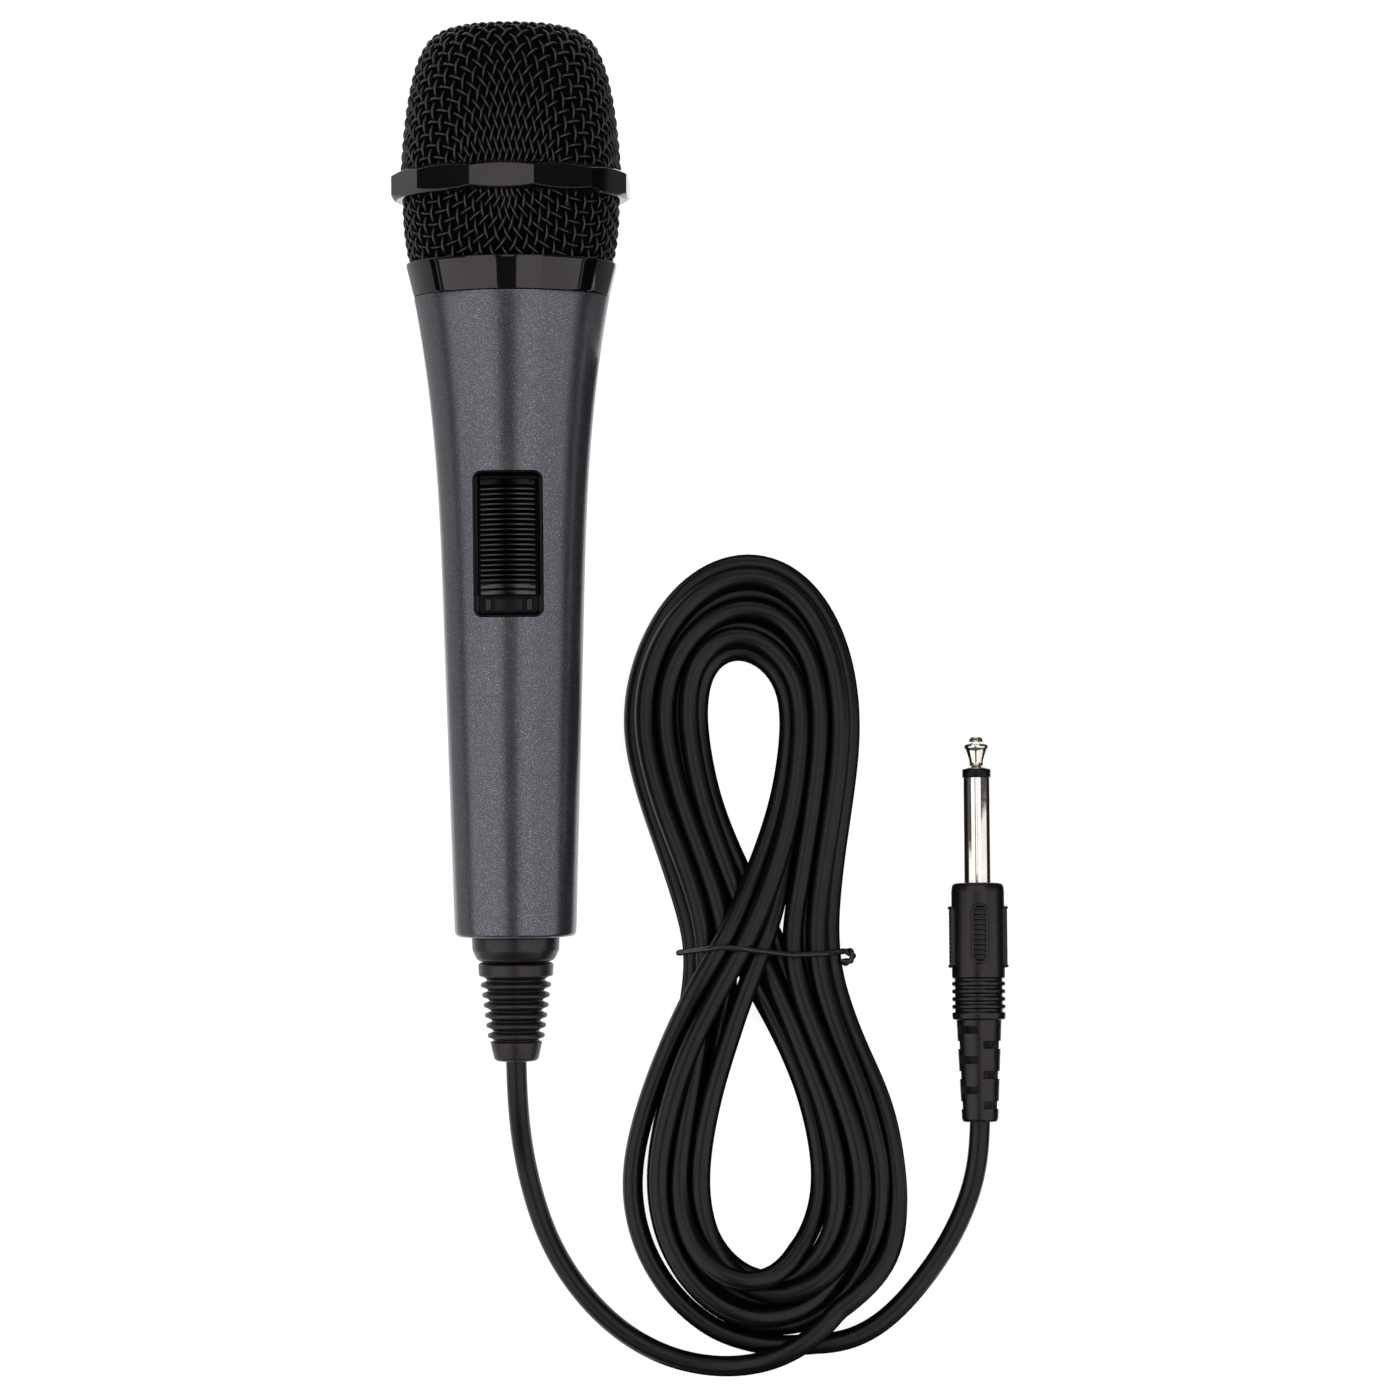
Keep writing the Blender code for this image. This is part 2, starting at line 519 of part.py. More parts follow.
def hank_outline():
    """The coiled cord seen from above: two round ends joined by curves that draw in at the tie."""
    outline = []
    for (x, y, radius), start in ((HANK_TOP, 0), (HANK_BOTTOM, math.pi)):
        steps = [start + math.pi * step / 12 for step in range(13)]
        outline += [(x + radius * math.cos(a), y + radius * math.sin(a)) for a in steps]
        sign = -1 if start == 0 else 1
        far = HANK_BOTTOM if start == 0 else HANK_TOP
        for part in (0.25, 0.5, 0.75):
            pinch = math.sin(math.pi * part) ** 2
            width = (radius * (1 - part) + far[2] * part) * (1 - pinch) + HANK_WAIST[2] * pinch
            middle = (x * (1 - part) + far[0] * part) * (1 - pinch) + HANK_WAIST[0] * pinch
            outline.append((middle + sign * width, y * (1 - part) + far[1] * part))
    return outline


def free_cord(look):
    tube("cord_lead", LEAD_ROUTE, CORD_RADIUS, look["cord"])
    tube("cord_tail", TAIL_ROUTE, CORD_RADIUS, look["cord"])
    hank = prism("cord_hank", hank_outline(), TABLE_GAP, HANK_HEIGHT, look["cord"], None)
    x, y, half = HANK_WAIST
    notch = box_outline(60, 2.4)
    shape_with(hank, prism("tie_notch", notch, -1, TIE_NOTCH, None, None, at=(x, y, 0)), "DIFFERENCE")
    reach = TIE_RADIUS + GAP + 0.2
    low, high = TIE_RADIUS + 2 * TABLE_GAP, HANK_HEIGHT + TIE_RADIUS + GAP
    loop = rounded_rectangle(2 * (half + reach), high - low, 1.0, 3)
    ring = [(x + side, y, (high + low) / 2 + up) for side, up in loop]
    tube("cord_tie", ring, TIE_RADIUS, look["tie"], cyclic=True, detail=1)


def build():
    clear_scene()
    look = all_materials()
    tilt, height, y = resting_pose()
    axis = empty("microphone_axis", at=(0, y, height), tilt=tilt)
    head = empty("head_axis", axis)
    slide = empty("switch_slide_axis", axis)
    coil_axis = empty("diaphragm_axis", axis)
    plug_axis = empty("plug_axis", at=PLUG_PLACE)
    plug_axis.rotation_euler = (0, 0, math.pi)
    handle_shell(look, axis)
    neck_ring(look, axis)
    head_pieces(look, head)
    gasket = [(154.6, 19.4), (154.6, 21.6), (155.8, 21.6), (155.8, 19.4)]
    turned("head_gasket", gasket, look["rubber"], empty("head_rise_axis", axis))
    capsule(look, axis, coil_axis)
    capsule_terminals(look, axis)
    switch_pieces(look, axis, slide)
    tail_pieces(look, axis)
    wiring(look, axis, SLIDER_MIDDLE - SLIDER_TRAVEL / 2)
    plug(look, plug_axis)
    free_cord(look)


build()
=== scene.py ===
"""The looks of a hand-held dynamic microphone, its coiled cord and its plug, built round the CAD frame."""

import math

import bmesh
import bpy
import numpy as np
from mathutils import Matrix, Vector

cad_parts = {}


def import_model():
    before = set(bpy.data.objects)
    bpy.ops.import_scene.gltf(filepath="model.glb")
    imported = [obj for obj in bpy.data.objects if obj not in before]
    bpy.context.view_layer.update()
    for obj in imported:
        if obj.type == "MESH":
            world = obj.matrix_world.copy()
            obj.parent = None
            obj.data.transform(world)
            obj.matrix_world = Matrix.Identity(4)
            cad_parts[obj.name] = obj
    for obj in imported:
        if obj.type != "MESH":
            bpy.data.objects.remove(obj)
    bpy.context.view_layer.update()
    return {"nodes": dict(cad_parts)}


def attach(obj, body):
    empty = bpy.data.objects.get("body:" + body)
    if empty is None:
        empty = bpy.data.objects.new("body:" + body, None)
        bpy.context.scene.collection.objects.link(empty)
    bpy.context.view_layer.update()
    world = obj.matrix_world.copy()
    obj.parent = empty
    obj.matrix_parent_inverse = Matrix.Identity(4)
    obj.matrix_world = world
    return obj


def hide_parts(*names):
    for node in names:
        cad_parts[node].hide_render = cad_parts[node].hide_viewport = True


MM = 0.001

# The microphone's own axis: s runs from the handle's tail to the grille, up is away from the table.
TILT = 0.0768947
AXIS_HEIGHT = 13.9697
AXIS_Y = -91.6336

HANDLE_LENGTH = 148.9
TAIL_RADIUS = 14.1
HANDLE_TAPER = 0.0297
FLARE_START = 80.0
FLARE_GROWTH = 4.2
FLARE_POWER = 2.6
HANDLE_WALL = 1.6

DOME_BASE = 177.8
DOME_TOP = 211.6
DOME_RADIUS = 25.7
DOME_SQUARENESS = 7.0
DOME_TAPER = 0.06
WIRE_RADIUS = 0.3
CRIMP = 0.38

BAND_START = 171.3
BAND_END = 177.5
BAND_FLAT = 27.24
BAND_FLATS = 12
TAIL_START = 0.5

NECK_START = 139.2
NECK_END = 153.8
THREAD_PITCH = 1.5
THREAD_ROOT = 18.05
THREAD_DEPTH = 0.5

SWITCH_MIDDLE = 91.15
BEZEL_SIZE = (15.9, 33.3)
POCKET_SIZE = (13.5, 31.5)
SLIDER_SIZE = (13.1, 26.8)
SLIDER_MIDDLE = 92.7
TRAY_FLOOR = 13.6
BUTTON_UNDERSIDE = TRAY_FLOOR + 0.45

PLUG_AT = (108.0, -44.8, 6.95)
GRIP_RADIUS = 6.2
CORD_RADIUS = 2.4

# The microphone lies rolled a little about its own axis, which shows in its switch and in the band's flats.
ROLL = math.radians(-2.2)

CAMERA_AT = (0.0432, -0.11497, 1.03399)
CAMERA_ROLL = math.radians(0.35)
LENS = 112.63
LIGHT = 1.3
FLOOR_GLOW = 0.9
SHEEN = (1.0, 0.89, 0.95, 1.0)


def mic(points):
    """Points (x, s, up) in mm on the microphone's own axis, as an array in the row frame in metres."""
    p = np.asarray(points, float).reshape(-1, 3)
    cos, sin = math.cos(TILT), math.sin(TILT)
    y = AXIS_Y + p[:, 1] * cos - p[:, 2] * sin
    z = AXIS_HEIGHT + p[:, 1] * sin + p[:, 2] * cos
    return np.stack([p[:, 0], y, z], 1) * MM


def rolled(points):
    """Points like those of mic, turned with the microphone's roll first."""
    p = np.array(points, float).reshape(-1, 3)
    x, up = p[:, 0].copy(), p[:, 2].copy()
    p[:, 0] = x * math.cos(ROLL) + up * math.sin(ROLL)
    p[:, 2] = up * math.cos(ROLL) - x * math.sin(ROLL)
    return mic(p)


def plug(points):
    """Points (x, distance from the plug's tip, up) in millimetres, as an array in the row frame in metres."""
    p = np.asarray(points, float).reshape(-1, 3)
    x, y, z = PLUG_AT
    return np.stack([x + p[:, 0], y - p[:, 1], z + p[:, 2]], 1) * MM


def world(points):
    return np.asarray(points, float).reshape(-1, 3) * MM


# ---------------------------------------------------------------- meshes


def mesh_of(name, vertices, faces):
    mesh = bpy.data.meshes.new(name)
    mesh.from_pydata([tuple(v) for v in vertices], [], [tuple(f) for f in faces])
    return mesh


def face_outwards(mesh):
    work = bmesh.new()
    work.from_mesh(mesh)
    bmesh.ops.recalc_face_normals(work, faces=work.faces)
    work.to_mesh(mesh)
    work.free()


def shade(mesh, sharp):
    """Shades a mesh smooth, but not over edges sharper than an angle in degrees, unless that is 0."""
    mesh.polygons.foreach_set("use_smooth", [True] * len(mesh.polygons))
    if sharp:
        mesh.set_sharp_from_angle(angle=math.radians(sharp))


def placed(name, data):
    obj = bpy.data.objects.new(name, data)
    bpy.context.scene.collection.objects.link(obj)
    return obj


def piece(name, vertices, faces, look, body, nodes=(), sharp=40, uv=None):
    """A finished mesh that rides on a CAD body and stands for the named CAD nodes."""
    mesh = mesh_of(name, vertices, faces)
    mesh.validate()
    if uv is None:
        face_outwards(mesh)
    else:
        layer = mesh.uv_layers.new(name="UVMap")
        layer.data.foreach_set("uv", np.asarray(uv, np.float32).ravel())
    shade(mesh, sharp)
    mesh.materials.append(LOOKS[look])
    obj = placed(name, mesh)
    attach(obj, body)
    if nodes:
        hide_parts(*nodes)
    return obj


def softened(outline, steps=4):
    """An outline of (along, radius, fillet) points with each corner that has a fillet rounded off."""
    out = []
    count = len(outline)
    for index, (a, r, fillet) in enumerate(outline):
        here = Vector((a, r))
        before = Vector(outline[index - 1][:2])
        after = Vector(outline[(index + 1) % count][:2])
        if not fillet:
            out.append((a, r))
            continue
        back, ahead = before - here, after - here
        start = here + back.normalized() * min(fillet, back.length * 0.48)
        end = here + ahead.normalized() * min(fillet, ahead.length * 0.48)
        for step in range(steps + 1):
            t = step / steps
            point = start * (1 - t) ** 2 + here * (2 * t * (1 - t)) + end * t**2
            out.append((point.x, point.y))
    return out


def lathe_mesh(outline, sides, closed=True):
    """Vertices (x, along, up) and faces of an outline turned about its axis. A radius of 0 is one vertex."""
    vertices, rings, faces = [], [], []
    for along, radius in outline:
        if radius < 1e-6:
            rings.append([len(vertices)] * sides)
            vertices.append((0, along, 0))
            continue
        first = len(vertices)
        rings.append([first + k for k in range(sides)])
        for k in range(sides):
            angle = math.tau * k / sides
            vertices.append((radius * math.sin(angle), along, radius * math.cos(angle)))
    pairs = list(zip(rings, rings[1:]))
    if closed:
        pairs.append((rings[-1], rings[0]))
    for low, high in pairs:
        for k in range(sides):
            n = (k + 1) % sides
            corner = [low[k], low[n], high[n], high[k]]
            face = [v for i, v in enumerate(corner) if v not in corner[:i]]
            if len(face) > 2:
                faces.append(face)
    return vertices, faces


def turned(name, outline, look, body, nodes=(), sides=96, place=mic, closed=True, sharp=40):
    vertices, faces = lathe_mesh(softened(outline), sides, closed)
    return piece(name, place(vertices), faces, look, body, nodes, sharp)


def loft(loops, caps=(False, False)):
    """Vertices and faces of equal closed loops joined in order."""
    count = len(loops[0])
    vertices = [p for loop in loops for p in loop]
    faces = []
    for ring in range(len(loops) - 1):
        for k in range(count):
            n = (k + 1) % count
            a = ring * count
            faces.append((a + k, a + n, a + count + n, a + count + k))
    if caps[0]:
        faces.append(tuple(range(count)))
    if caps[1]:
        faces.append(tuple(range((len(loops) - 1) * count, len(loops) * count)))
    return vertices, faces


def rectangle(width, length, corner, per_corner=8, per_side=0):
    """A closed loop of (x, y) round a rectangle with rounded corners, the same count whatever its size."""
    out = []
    quarter = math.pi / 2
    x, y = width / 2 - corner, length / 2 - corner
    for number, (cx, cy) in enumerate(((x, y), (-x, y), (-x, -y), (x, -y))):
        for step in range(per_corner + 1):
            angle = quarter * (number + step / per_corner)
            out.append((cx + corner * math.cos(angle), cy + corner * math.sin(angle)))
    if not per_side:
        return out
    full = []
    for index, here in enumerate(out):
        after = out[(index + 1) % len(out)]
        full.append(here)
        if (index + 1) % (per_corner + 1) == 0:
            for step in range(1, per_side):
                t = step / per_side
                full.append((here[0] + (after[0] - here[0]) * t, here[1] + (after[1] - here[1]) * t))
    return full


def smooth_line(points):
    """A centripetal Catmull-Rom curve through the points, about 0.8 mm apart."""
    p = np.asarray(points, float)
    keys = np.vstack([2 * p[0] - p[1], p, 2 * p[-1] - p[-2]])
    out = []
    for a, b, c, d in zip(keys, keys[1:], keys[2:], keys[3:]):
        t1 = max(np.linalg.norm(b - a), 1e-6) ** 0.5
        t2 = t1 + max(np.linalg.norm(c - b), 1e-6) ** 0.5
        t3 = t2 + max(np.linalg.norm(d - c), 1e-6) ** 0.5
        count = max(2, int(np.linalg.norm(c - b) / 0.8))
        t = (t1 + (t2 - t1) * np.arange(count) / count)[:, None]
        a1 = (t1 - t) / t1 * a + t / t1 * b
        a2 = (t2 - t) / (t2 - t1) * b + (t - t1) / (t2 - t1) * c
        a3 = (t3 - t) / (t3 - t2) * c + (t - t2) / (t3 - t2) * d
        b1 = (t2 - t) / t2 * a1 + t / t2 * a2
        b2 = (t3 - t) / (t3 - t1) * a2 + (t - t1) / (t3 - t1) * a3
        out.append((t2 - t) / (t2 - t1) * b1 + (t - t1) / (t2 - t1) * b2)
    return np.vstack(out + [p[-1:]])


def evenly(points, step):
    """The same line with its points a step apart."""
    p = np.asarray(points, float)
    reach = np.concatenate([[0], np.cumsum(np.linalg.norm(np.diff(p, axis=0), axis=1))])
    at = np.linspace(0, reach[-1], max(2, round(reach[-1] / step)) + 1)
    return np.stack([np.interp(at, reach, p[:, axis]) for axis in range(3)], 1)


def tube_mesh(line, radius, sides):
    """Vertices, faces and UVs of a tube along a line: u runs round it and v along it, in the line's units."""
    p = np.asarray(line, float)
    ahead = np.gradient(p, axis=0)
    ahead /= np.linalg.norm(ahead, axis=1)[:, None]
    side = np.cross(ahead[0], (0.0, 0.0, 1.0))
    if np.linalg.norm(side) < 0.1:
        side = np.cross(ahead[0], (1.0, 0.0, 0.0))
    reach = np.concatenate([[0], np.cumsum(np.linalg.norm(np.diff(p, axis=0), axis=1))])
    angles = np.arange(sides) * math.tau / sides
    vertices = []
    for centre, way in zip(p, ahead):
        side = side - way * side.dot(way)
        side /= np.linalg.norm(side)
        up = np.cross(side, way)
        vertices.append(centre + radius * (np.outer(np.cos(angles), side) + np.outer(np.sin(angles), up)))
    faces, uv = [], []
    for ring in range(len(p) - 1):
        for k in range(sides):
            n = (k + 1) % sides
            a, b = ring * sides, (ring + 1) * sides
            faces.append((a + k, b + k, b + n, a + n))
            u, v = k / sides, (k + 1) / sides
            uv += [(u, reach[ring]), (u, reach[ring + 1]), (v, reach[ring + 1]), (v, reach[ring])]
    faces.append(tuple(range(sides)))
    faces.append(tuple(reversed(range((len(p) - 1) * sides, len(p) * sides))))
    uv += [(0, 0)] * sides + [(0, reach[-1])] * sides
    return np.vstack(vertices), faces, uv


def tube_piece(name, line, radius, sides, look, nodes=()):
    vertices, faces, uv = tube_mesh(line, radius, sides)
    return piece(name, world(vertices), faces, look, "handle", nodes, 60, uv)


# ---------------------------------------------------------------- looks


class Look:
    """A Principled material and short ways to add nodes to it."""

    def __init__(self, name, colour, roughness, metallic=0.0, **sockets):
        self.material = bpy.data.materials.new(name)
        self.material.use_nodes = True
        self.tree = self.material.node_tree
        self.shader = self.tree.nodes["Principled BSDF"]
        self.shader.inputs["Base Color"].default_value = (*colour, 1)
        self.shader.inputs["Roughness"].default_value = roughness
        self.shader.inputs["Metallic"].default_value = metallic
        for socket, value in sockets.items():
            self.shader.inputs[socket.replace("_", " ")].default_value = value
        self.heights = []

    def node(self, kind, **values):
        made = self.tree.nodes.new(kind)
        for key, value in values.items():
            if hasattr(made, key):
                setattr(made, key, value)
            else:
                made.inputs[key.replace("_", " ")].default_value = value
        return made

    def link(self, source, target):
        self.tree.links.new(source, target)

    def noise(self, scale, detail=3.0):
        """A noise pattern with scale features per metre of the object."""
        place = self.node("ShaderNodeTexCoord")
        made = self.node("ShaderNodeTexNoise", Scale=scale, Detail=detail)
        self.link(place.outputs["Object"], made.inputs["Vector"])
        return made.outputs["Fac"]

    def ramp(self, source, low, high, start=0.35, end=0.65):
        """Maps a pattern between start and end on to the numbers low to high."""
        made = self.node("ShaderNodeMapRange", From_Min=start, From_Max=end, To_Min=low, To_Max=high)
        self.link(source, made.inputs["Value"])
        return made.outputs["Result"]

    def mix(self, source, first, second):
        """A colour between first and second by a 0 to 1 pattern."""
        made = self.node("ShaderNodeMix", data_type="RGBA")
        self.link(source, made.inputs["Factor"])
        colours = [s for s in made.inputs if s.type == "RGBA"]
        colours[0].default_value = (*first, 1)
        colours[1].default_value = (*second, 1)
        return [s for s in made.outputs if s.type == "RGBA"][0]

    def colour(self, source):
        self.link(source, self.shader.inputs["Base Color"])

    def rough(self, source):
        self.link(source, self.shader.inputs["Roughness"])

    def bump(self, source, depth, strength=1.0):
        """Adds relief of a depth in metres under the bumps already there."""
        made = self.node("ShaderNodeBump", Strength=strength, Distance=depth)
        self.link(source, made.inputs["Height"])
        if self.heights:
            self.link(self.heights[-1].outputs["Normal"], made.inputs["Normal"])
        self.heights.append(made)
        self.link(made.outputs["Normal"], self.shader.inputs["Normal"])


def handle_paint():
    """Dark blue-grey metallic paint: fine bright flakes in it and a thin satin coat over it."""
    look = Look("handle_paint", (0.08, 0.078, 0.09), 0.26, 0.8, Coat_Weight=0.12, Coat_Roughness=0.2)
    flakes = look.noise(5200, 1.0)
    look.colour(look.mix(look.ramp(flakes, 0, 1, 0.55, 0.76), (0.078, 0.077, 0.091), (0.34, 0.33, 0.37)))
    look.rough(look.ramp(look.noise(90, 3.0), 0.25, 0.28))
    look.bump(flakes, 0.00003, 0.22)
    look.bump(look.noise(1800, 2.0), 0.00004, 0.08)
    return look.material


def plastic(name, colour, roughness, grain=0.00002, coat=0.0, scale=3500, shine=0.5):
    coated = {"Coat_Weight": coat, "Coat_Roughness": 0.05}
    look = Look(name, colour, roughness, **coated, Specular_Tint=SHEEN, Specular_IOR_Level=shine)
    cloud = look.noise(120, 4.0)
    light = tuple(c * 1.25 + 0.001 for c in colour)
    look.colour(look.mix(look.ramp(cloud, 0, 1), colour, light))
    look.rough(look.ramp(look.noise(700, 5.0), roughness * 0.85, roughness * 1.15))
    if grain:
        look.bump(look.noise(scale, 3.0), grain, 0.5)
    return look.material


def metal(name, colour, roughness):
    look = Look(name, colour, roughness, 1.0)
    dark = tuple(c * 0.82 for c in colour)
    look.colour(look.mix(look.ramp(look.noise(160, 5.0), 0, 1), colour, dark))
    look.rough(look.ramp(look.noise(900, 6.0), roughness * 0.7, roughness * 1.5))
    look.bump(look.noise(2600, 2.0), 0.00001, 0.2)
    return look.material


def foam():
    look = Look("foam", (0.002, 0.002, 0.002), 1.0, Specular_IOR_Level=0.05)
    cells = look.node("ShaderNodeTexVoronoi", Scale=1500.0)
    place = look.node("ShaderNodeTexCoord")
    look.link(place.outputs["Object"], cells.inputs["Vector"])
    open_cells = look.ramp(cells.outputs["Distance"], 0, 1, 0.1, 0.7)
    look.colour(look.mix(open_cells, (0.0008, 0.0008, 0.0009), (0.0035, 0.0035, 0.004)))
    look.bump(cells.outputs["Distance"], 0.0005, 1.0)
    return look.material


def relief(name, low, high, roughness, shine):
    """Black plastic or paint with painted light by its attribute raised: glossier and lighter, a painted
    highlight, where it is 1, and darker and duller, a painted shade, where it is 0.
    """
    look = Look(name, high, roughness, Specular_Tint=SHEEN)
    raised = look.node("ShaderNodeAttribute", attribute_name="raised").outputs["Fac"]
    look.colour(look.mix(look.ramp(raised, 0, 1, 0.1, 0.7), low, high))
    look.link(look.ramp(raised, *shine, 0.05, 0.6), look.shader.inputs["Specular IOR Level"])
    look.rough(look.ramp(look.noise(1500, 3.0), roughness * 0.85, roughness * 1.2))
    look.bump(look.noise(3500, 3.0), 0.00001, 0.4)
    return look.material


def mark_raised(obj, values):
    layer = obj.data.attributes.new("raised", "FLOAT", "POINT")
    layer.data.foreach_set("value", np.asarray(values, np.float32))


def jacket():
    look = Look("cord_jacket", (0.003, 0.0027, 0.003), 0.34, Specular_IOR_Level=0.31, Specular_Tint=SHEEN)
    cloud = look.ramp(look.noise(60, 3.0), 0, 1)
    look.colour(look.mix(cloud, (0.0010, 0.0009, 0.0010), (0.0024, 0.0021, 0.0024)))
    look.rough(look.ramp(look.noise(500, 5.0), 0.3, 0.38))
    look.bump(look.noise(240, 3.0), 0.00012, 0.25)
    look.bump(look.noise(2800, 2.0), 0.00002, 0.35)
    return look.material


LOOKS = {}


def make_looks():
    LOOKS.update(
        paint=handle_paint(),
        gloss=plastic("black_gloss", (0.0008, 0.0008, 0.0009), 0.06, 0.0, 0.1),
        matte=plastic("black_matte", (0.004, 0.0037, 0.004), 0.34),
        frame=plastic("frame_plastic", (0.0012, 0.0011, 0.0012), 0.3, 0.00002, shine=0.2),
        moulded=plastic("moulded_plastic", (0.0026, 0.0022, 0.0026), 0.32, 0.00004, shine=0.42),
        # The wires and the button's ribs carry painted shade and painted highlights by their attribute raised.
        wire=relief("mesh_wire", (0.0008, 0.0008, 0.0009), (0.010, 0.010, 0.0105), 0.24, (0.04, 0.6)),
        ribbed=relief("ribbed_plastic", (0.0006, 0.0006, 0.0006), (0.005, 0.0046, 0.005), 0.22, (0.02, 0.75)),
        # Painted shade for hollows, such as the walls of the plug's slots.
        pit=plastic("shadowed_plastic", (0.0006, 0.0006, 0.0006), 0.7),
        foam=foam(),
        rubber=plastic("rubber", (0.0055, 0.0046, 0.0048), 0.38, 0.00004),
        jacket=jacket(),
        nickel=metal("nickel", (0.84, 0.79, 0.74), 0.065),
        steel=metal("steel", (0.56, 0.56, 0.58), 0.3),
        brass=metal("brass", (0.72, 0.50, 0.20), 0.28),
        magnet=metal("magnet", (0.30, 0.30, 0.31), 0.42),
        copper=metal("copper", (0.72, 0.32, 0.16), 0.3),
        film=plastic("diaphragm_film", (0.62, 0.55, 0.36), 0.2, 0.0),
        board=plastic("board", (0.10, 0.055, 0.02), 0.55),
        felt=plastic("felt", (0.22, 0.2, 0.17), 0.95, 0.0003, 0.0, 1600),
        hot_wire=plastic("hot_wire", (0.35, 0.02, 0.015), 0.4),
        cold_wire=plastic("cold_wire", (0.30, 0.30, 0.29), 0.4),
        tie=plastic("tie", (0.006, 0.0055, 0.006), 0.3),
    )


# ---------------------------------------------------------------- camera and light


def camera():
    """Looks straight down on the microphone's front from about a metre away."""
    data = bpy.data.cameras.new("camera")
    data.sensor_width = 36.0
    data.lens = LENS
    data.clip_start = 0.05
    obj = placed("camera", data)
    down = Vector((0.0, math.sin(TILT), -math.cos(TILT)))
    right = down.cross(Vector((0, 0, 1))).normalized()
    up = right.cross(down)
    lean_up = up * math.cos(CAMERA_ROLL) + right * math.sin(CAMERA_ROLL)
    lean_right = right * math.cos(CAMERA_ROLL) - up * math.sin(CAMERA_ROLL)
    turn = Matrix((lean_right, lean_up, -down)).transposed()
    obj.matrix_world = Matrix.Translation(CAMERA_AT) @ turn.to_4x4()
    bpy.context.scene.camera = obj


def softbox(name, width, length, luminance):
    """An area light whose luminance is the brightness that a perfect mirror would show of it."""
    data = bpy.data.lights.new(name, "AREA")
    data.shape = "RECTANGLE"
    data.size = width
    data.size_y = length
    data.energy = luminance * data.size * data.size_y * math.pi
    obj = placed(name, data)
    obj.visible_camera = False
    return obj


def strip_light(name, near, far, span, luminance):
    """A long softbox that faces the object, from near to far, each (x, z) in metres, and over a span of y."""
    obj = softbox(name, math.dist(near, far), span[1] - span[0], luminance)
    centre = Vector(((near[0] + far[0]) / 2, (span[0] + span[1]) / 2, (near[1] + far[1]) / 2))
    across = Vector((far[0] - near[0], 0, far[1] - near[1])).normalized()
    along = Vector((0, 1, 0))
    facing = across.cross(along)
    if facing.dot(centre - Vector((0, centre.y, 0))) < 0:
        along = -along
        facing = -facing
    obj.matrix_world = Matrix.Translation(centre) @ Matrix((across, along, facing)).transposed().to_4x4()


def far_light():
    """A softbox beyond the head, low down, that brightens the faces turned that way."""
    obj = softbox("far_softbox", 1.0, 0.6, LIGHT * 0.7)
    obj.location = (0.05, 1.1, 0.45)
    obj.rotation_euler = (math.radians(-80), 0, 0)


def sheet(name, across, along, height, look):
    """A flat oblong of the stage, over a span of x and a span of y."""
    (left, right), (near, far) = across, along
    corners = [(left, near, 0), (right, near, 0), (right, far, 0), (left, far, 0)]
    mesh = mesh_of(name, corners, [(0, 1, 2, 3)])
    mesh.materials.append(look.material)
    obj = placed(name, mesh)
    obj.location.z = height
    return obj


def flag(name, across, along, shade_of_grey=0.02):
    """A card flat on the floor that only mirror-like reflections see, as a photographer darkens an edge."""
    look = Look(name, (shade_of_grey,) * 3, 1.0, Specular_IOR_Level=0.0)
    obj = sheet(name, across, along, -0.0002, look)
    obj.visible_camera = False
    obj.visible_diffuse = False
    obj.visible_shadow = False


def studio():
    """A light tent: a tall softbox on each side with a dark slit between them, and a bright pale floor."""
    bpy.context.scene.view_settings.view_transform = "Standard"
    surroundings = bpy.data.worlds.new("studio")
    surroundings.use_nodes = True
    background = surroundings.node_tree.nodes["Background"]
    background.inputs["Color"].default_value = (0.8, 0.8, 0.8, 1)
    background.inputs["Strength"].default_value = 0.12
    bpy.context.scene.world = surroundings
    strip_light("left_softbox", (-0.29, 1.08), (-0.76, 0.70), (-0.95, 0.85), LIGHT)
    strip_light("left_low_softbox", (-0.76, 0.70), (-1.10, 0.11), (-0.95, 0.02), LIGHT)
    strip_light("right_softbox", (0.15, 1.10), (0.60, 0.82), (-0.95, 0.85), LIGHT)
    strip_light("right_low_softbox", (0.60, 0.82), (1.05, 0.08), (-0.95, 0.055), LIGHT * 0.85)
    strip_light("head_softbox", (-0.16, 1.12), (0.10, 1.12), (-0.02, 0.60), LIGHT)
    far_light()
    flag("hank_flag", (0.03, 0.1), (-1, 0.045))
    flag("right_flag", (0.119, 1.2), (-1, 1))
    flag("near_left_card", (-0.25, -0.03), (-0.2, 0.13), 0.7)
    flag("head_right_card", (0.036, 0.119), (0.046, 0.13), 0.28)
    flag("left_flag", (-1.2, -0.25), (-1, 1))
    look = Look("floor", (0.35, 0.35, 0.35), 0.9, Specular_IOR_Level=0.0)
    look.shader.inputs["Emission Color"].default_value = (1, 1, 1, 1)
    look.shader.inputs["Emission Strength"].default_value = FLOOR_GLOW
    sheet("floor", (-4, 4), (-4, 4), -0.0004, look)


# ---------------------------------------------------------------- the cord

LEAD_ROUTE = (
    (-0.05, -119.4, 12.05), (0.1, -128.0, 10.6), (0.6, -136.0, 7.2), (1.6, -143.6, 4.0), (3.4, -151.5, 2.6),
    (6.6, -161.0, 2.5), (11.0, -169.2, 2.5), (17.2, -177.2, 2.5), (25.6, -184.6, 2.5), (34.8, -189.4, 2.5),
    (44.6, -191.6, 2.9), (54.6, -191.2, 5.6), (63.6, -188.2, 7.8), (71.8, -182.0, 7.4), (78.8, -172.4, 5.6),
    (83.6, -160.4, 3.4),
)
TAIL_ROUTE = (
    (76.5, -186.2, 2.5), (82.6, -183.4, 2.5), (88.2, -179.0, 2.5), (94.4, -171.8, 2.5), (99.4, -165.2, 2.5),
    (103.4, -157.8, 2.7), (106.2, -150.6, 3.8), (107.7, -143.0, 6.0), (108.0, -133.6, 6.95),
)
TOP_Y = -42.0
TIE_X = 57.6
TIE_Y = -94.5
BOTTOM_Y = -148.0
LOWEST_Y = -186.6
LAYER = 4.3
FLOOR_Z = 0.1
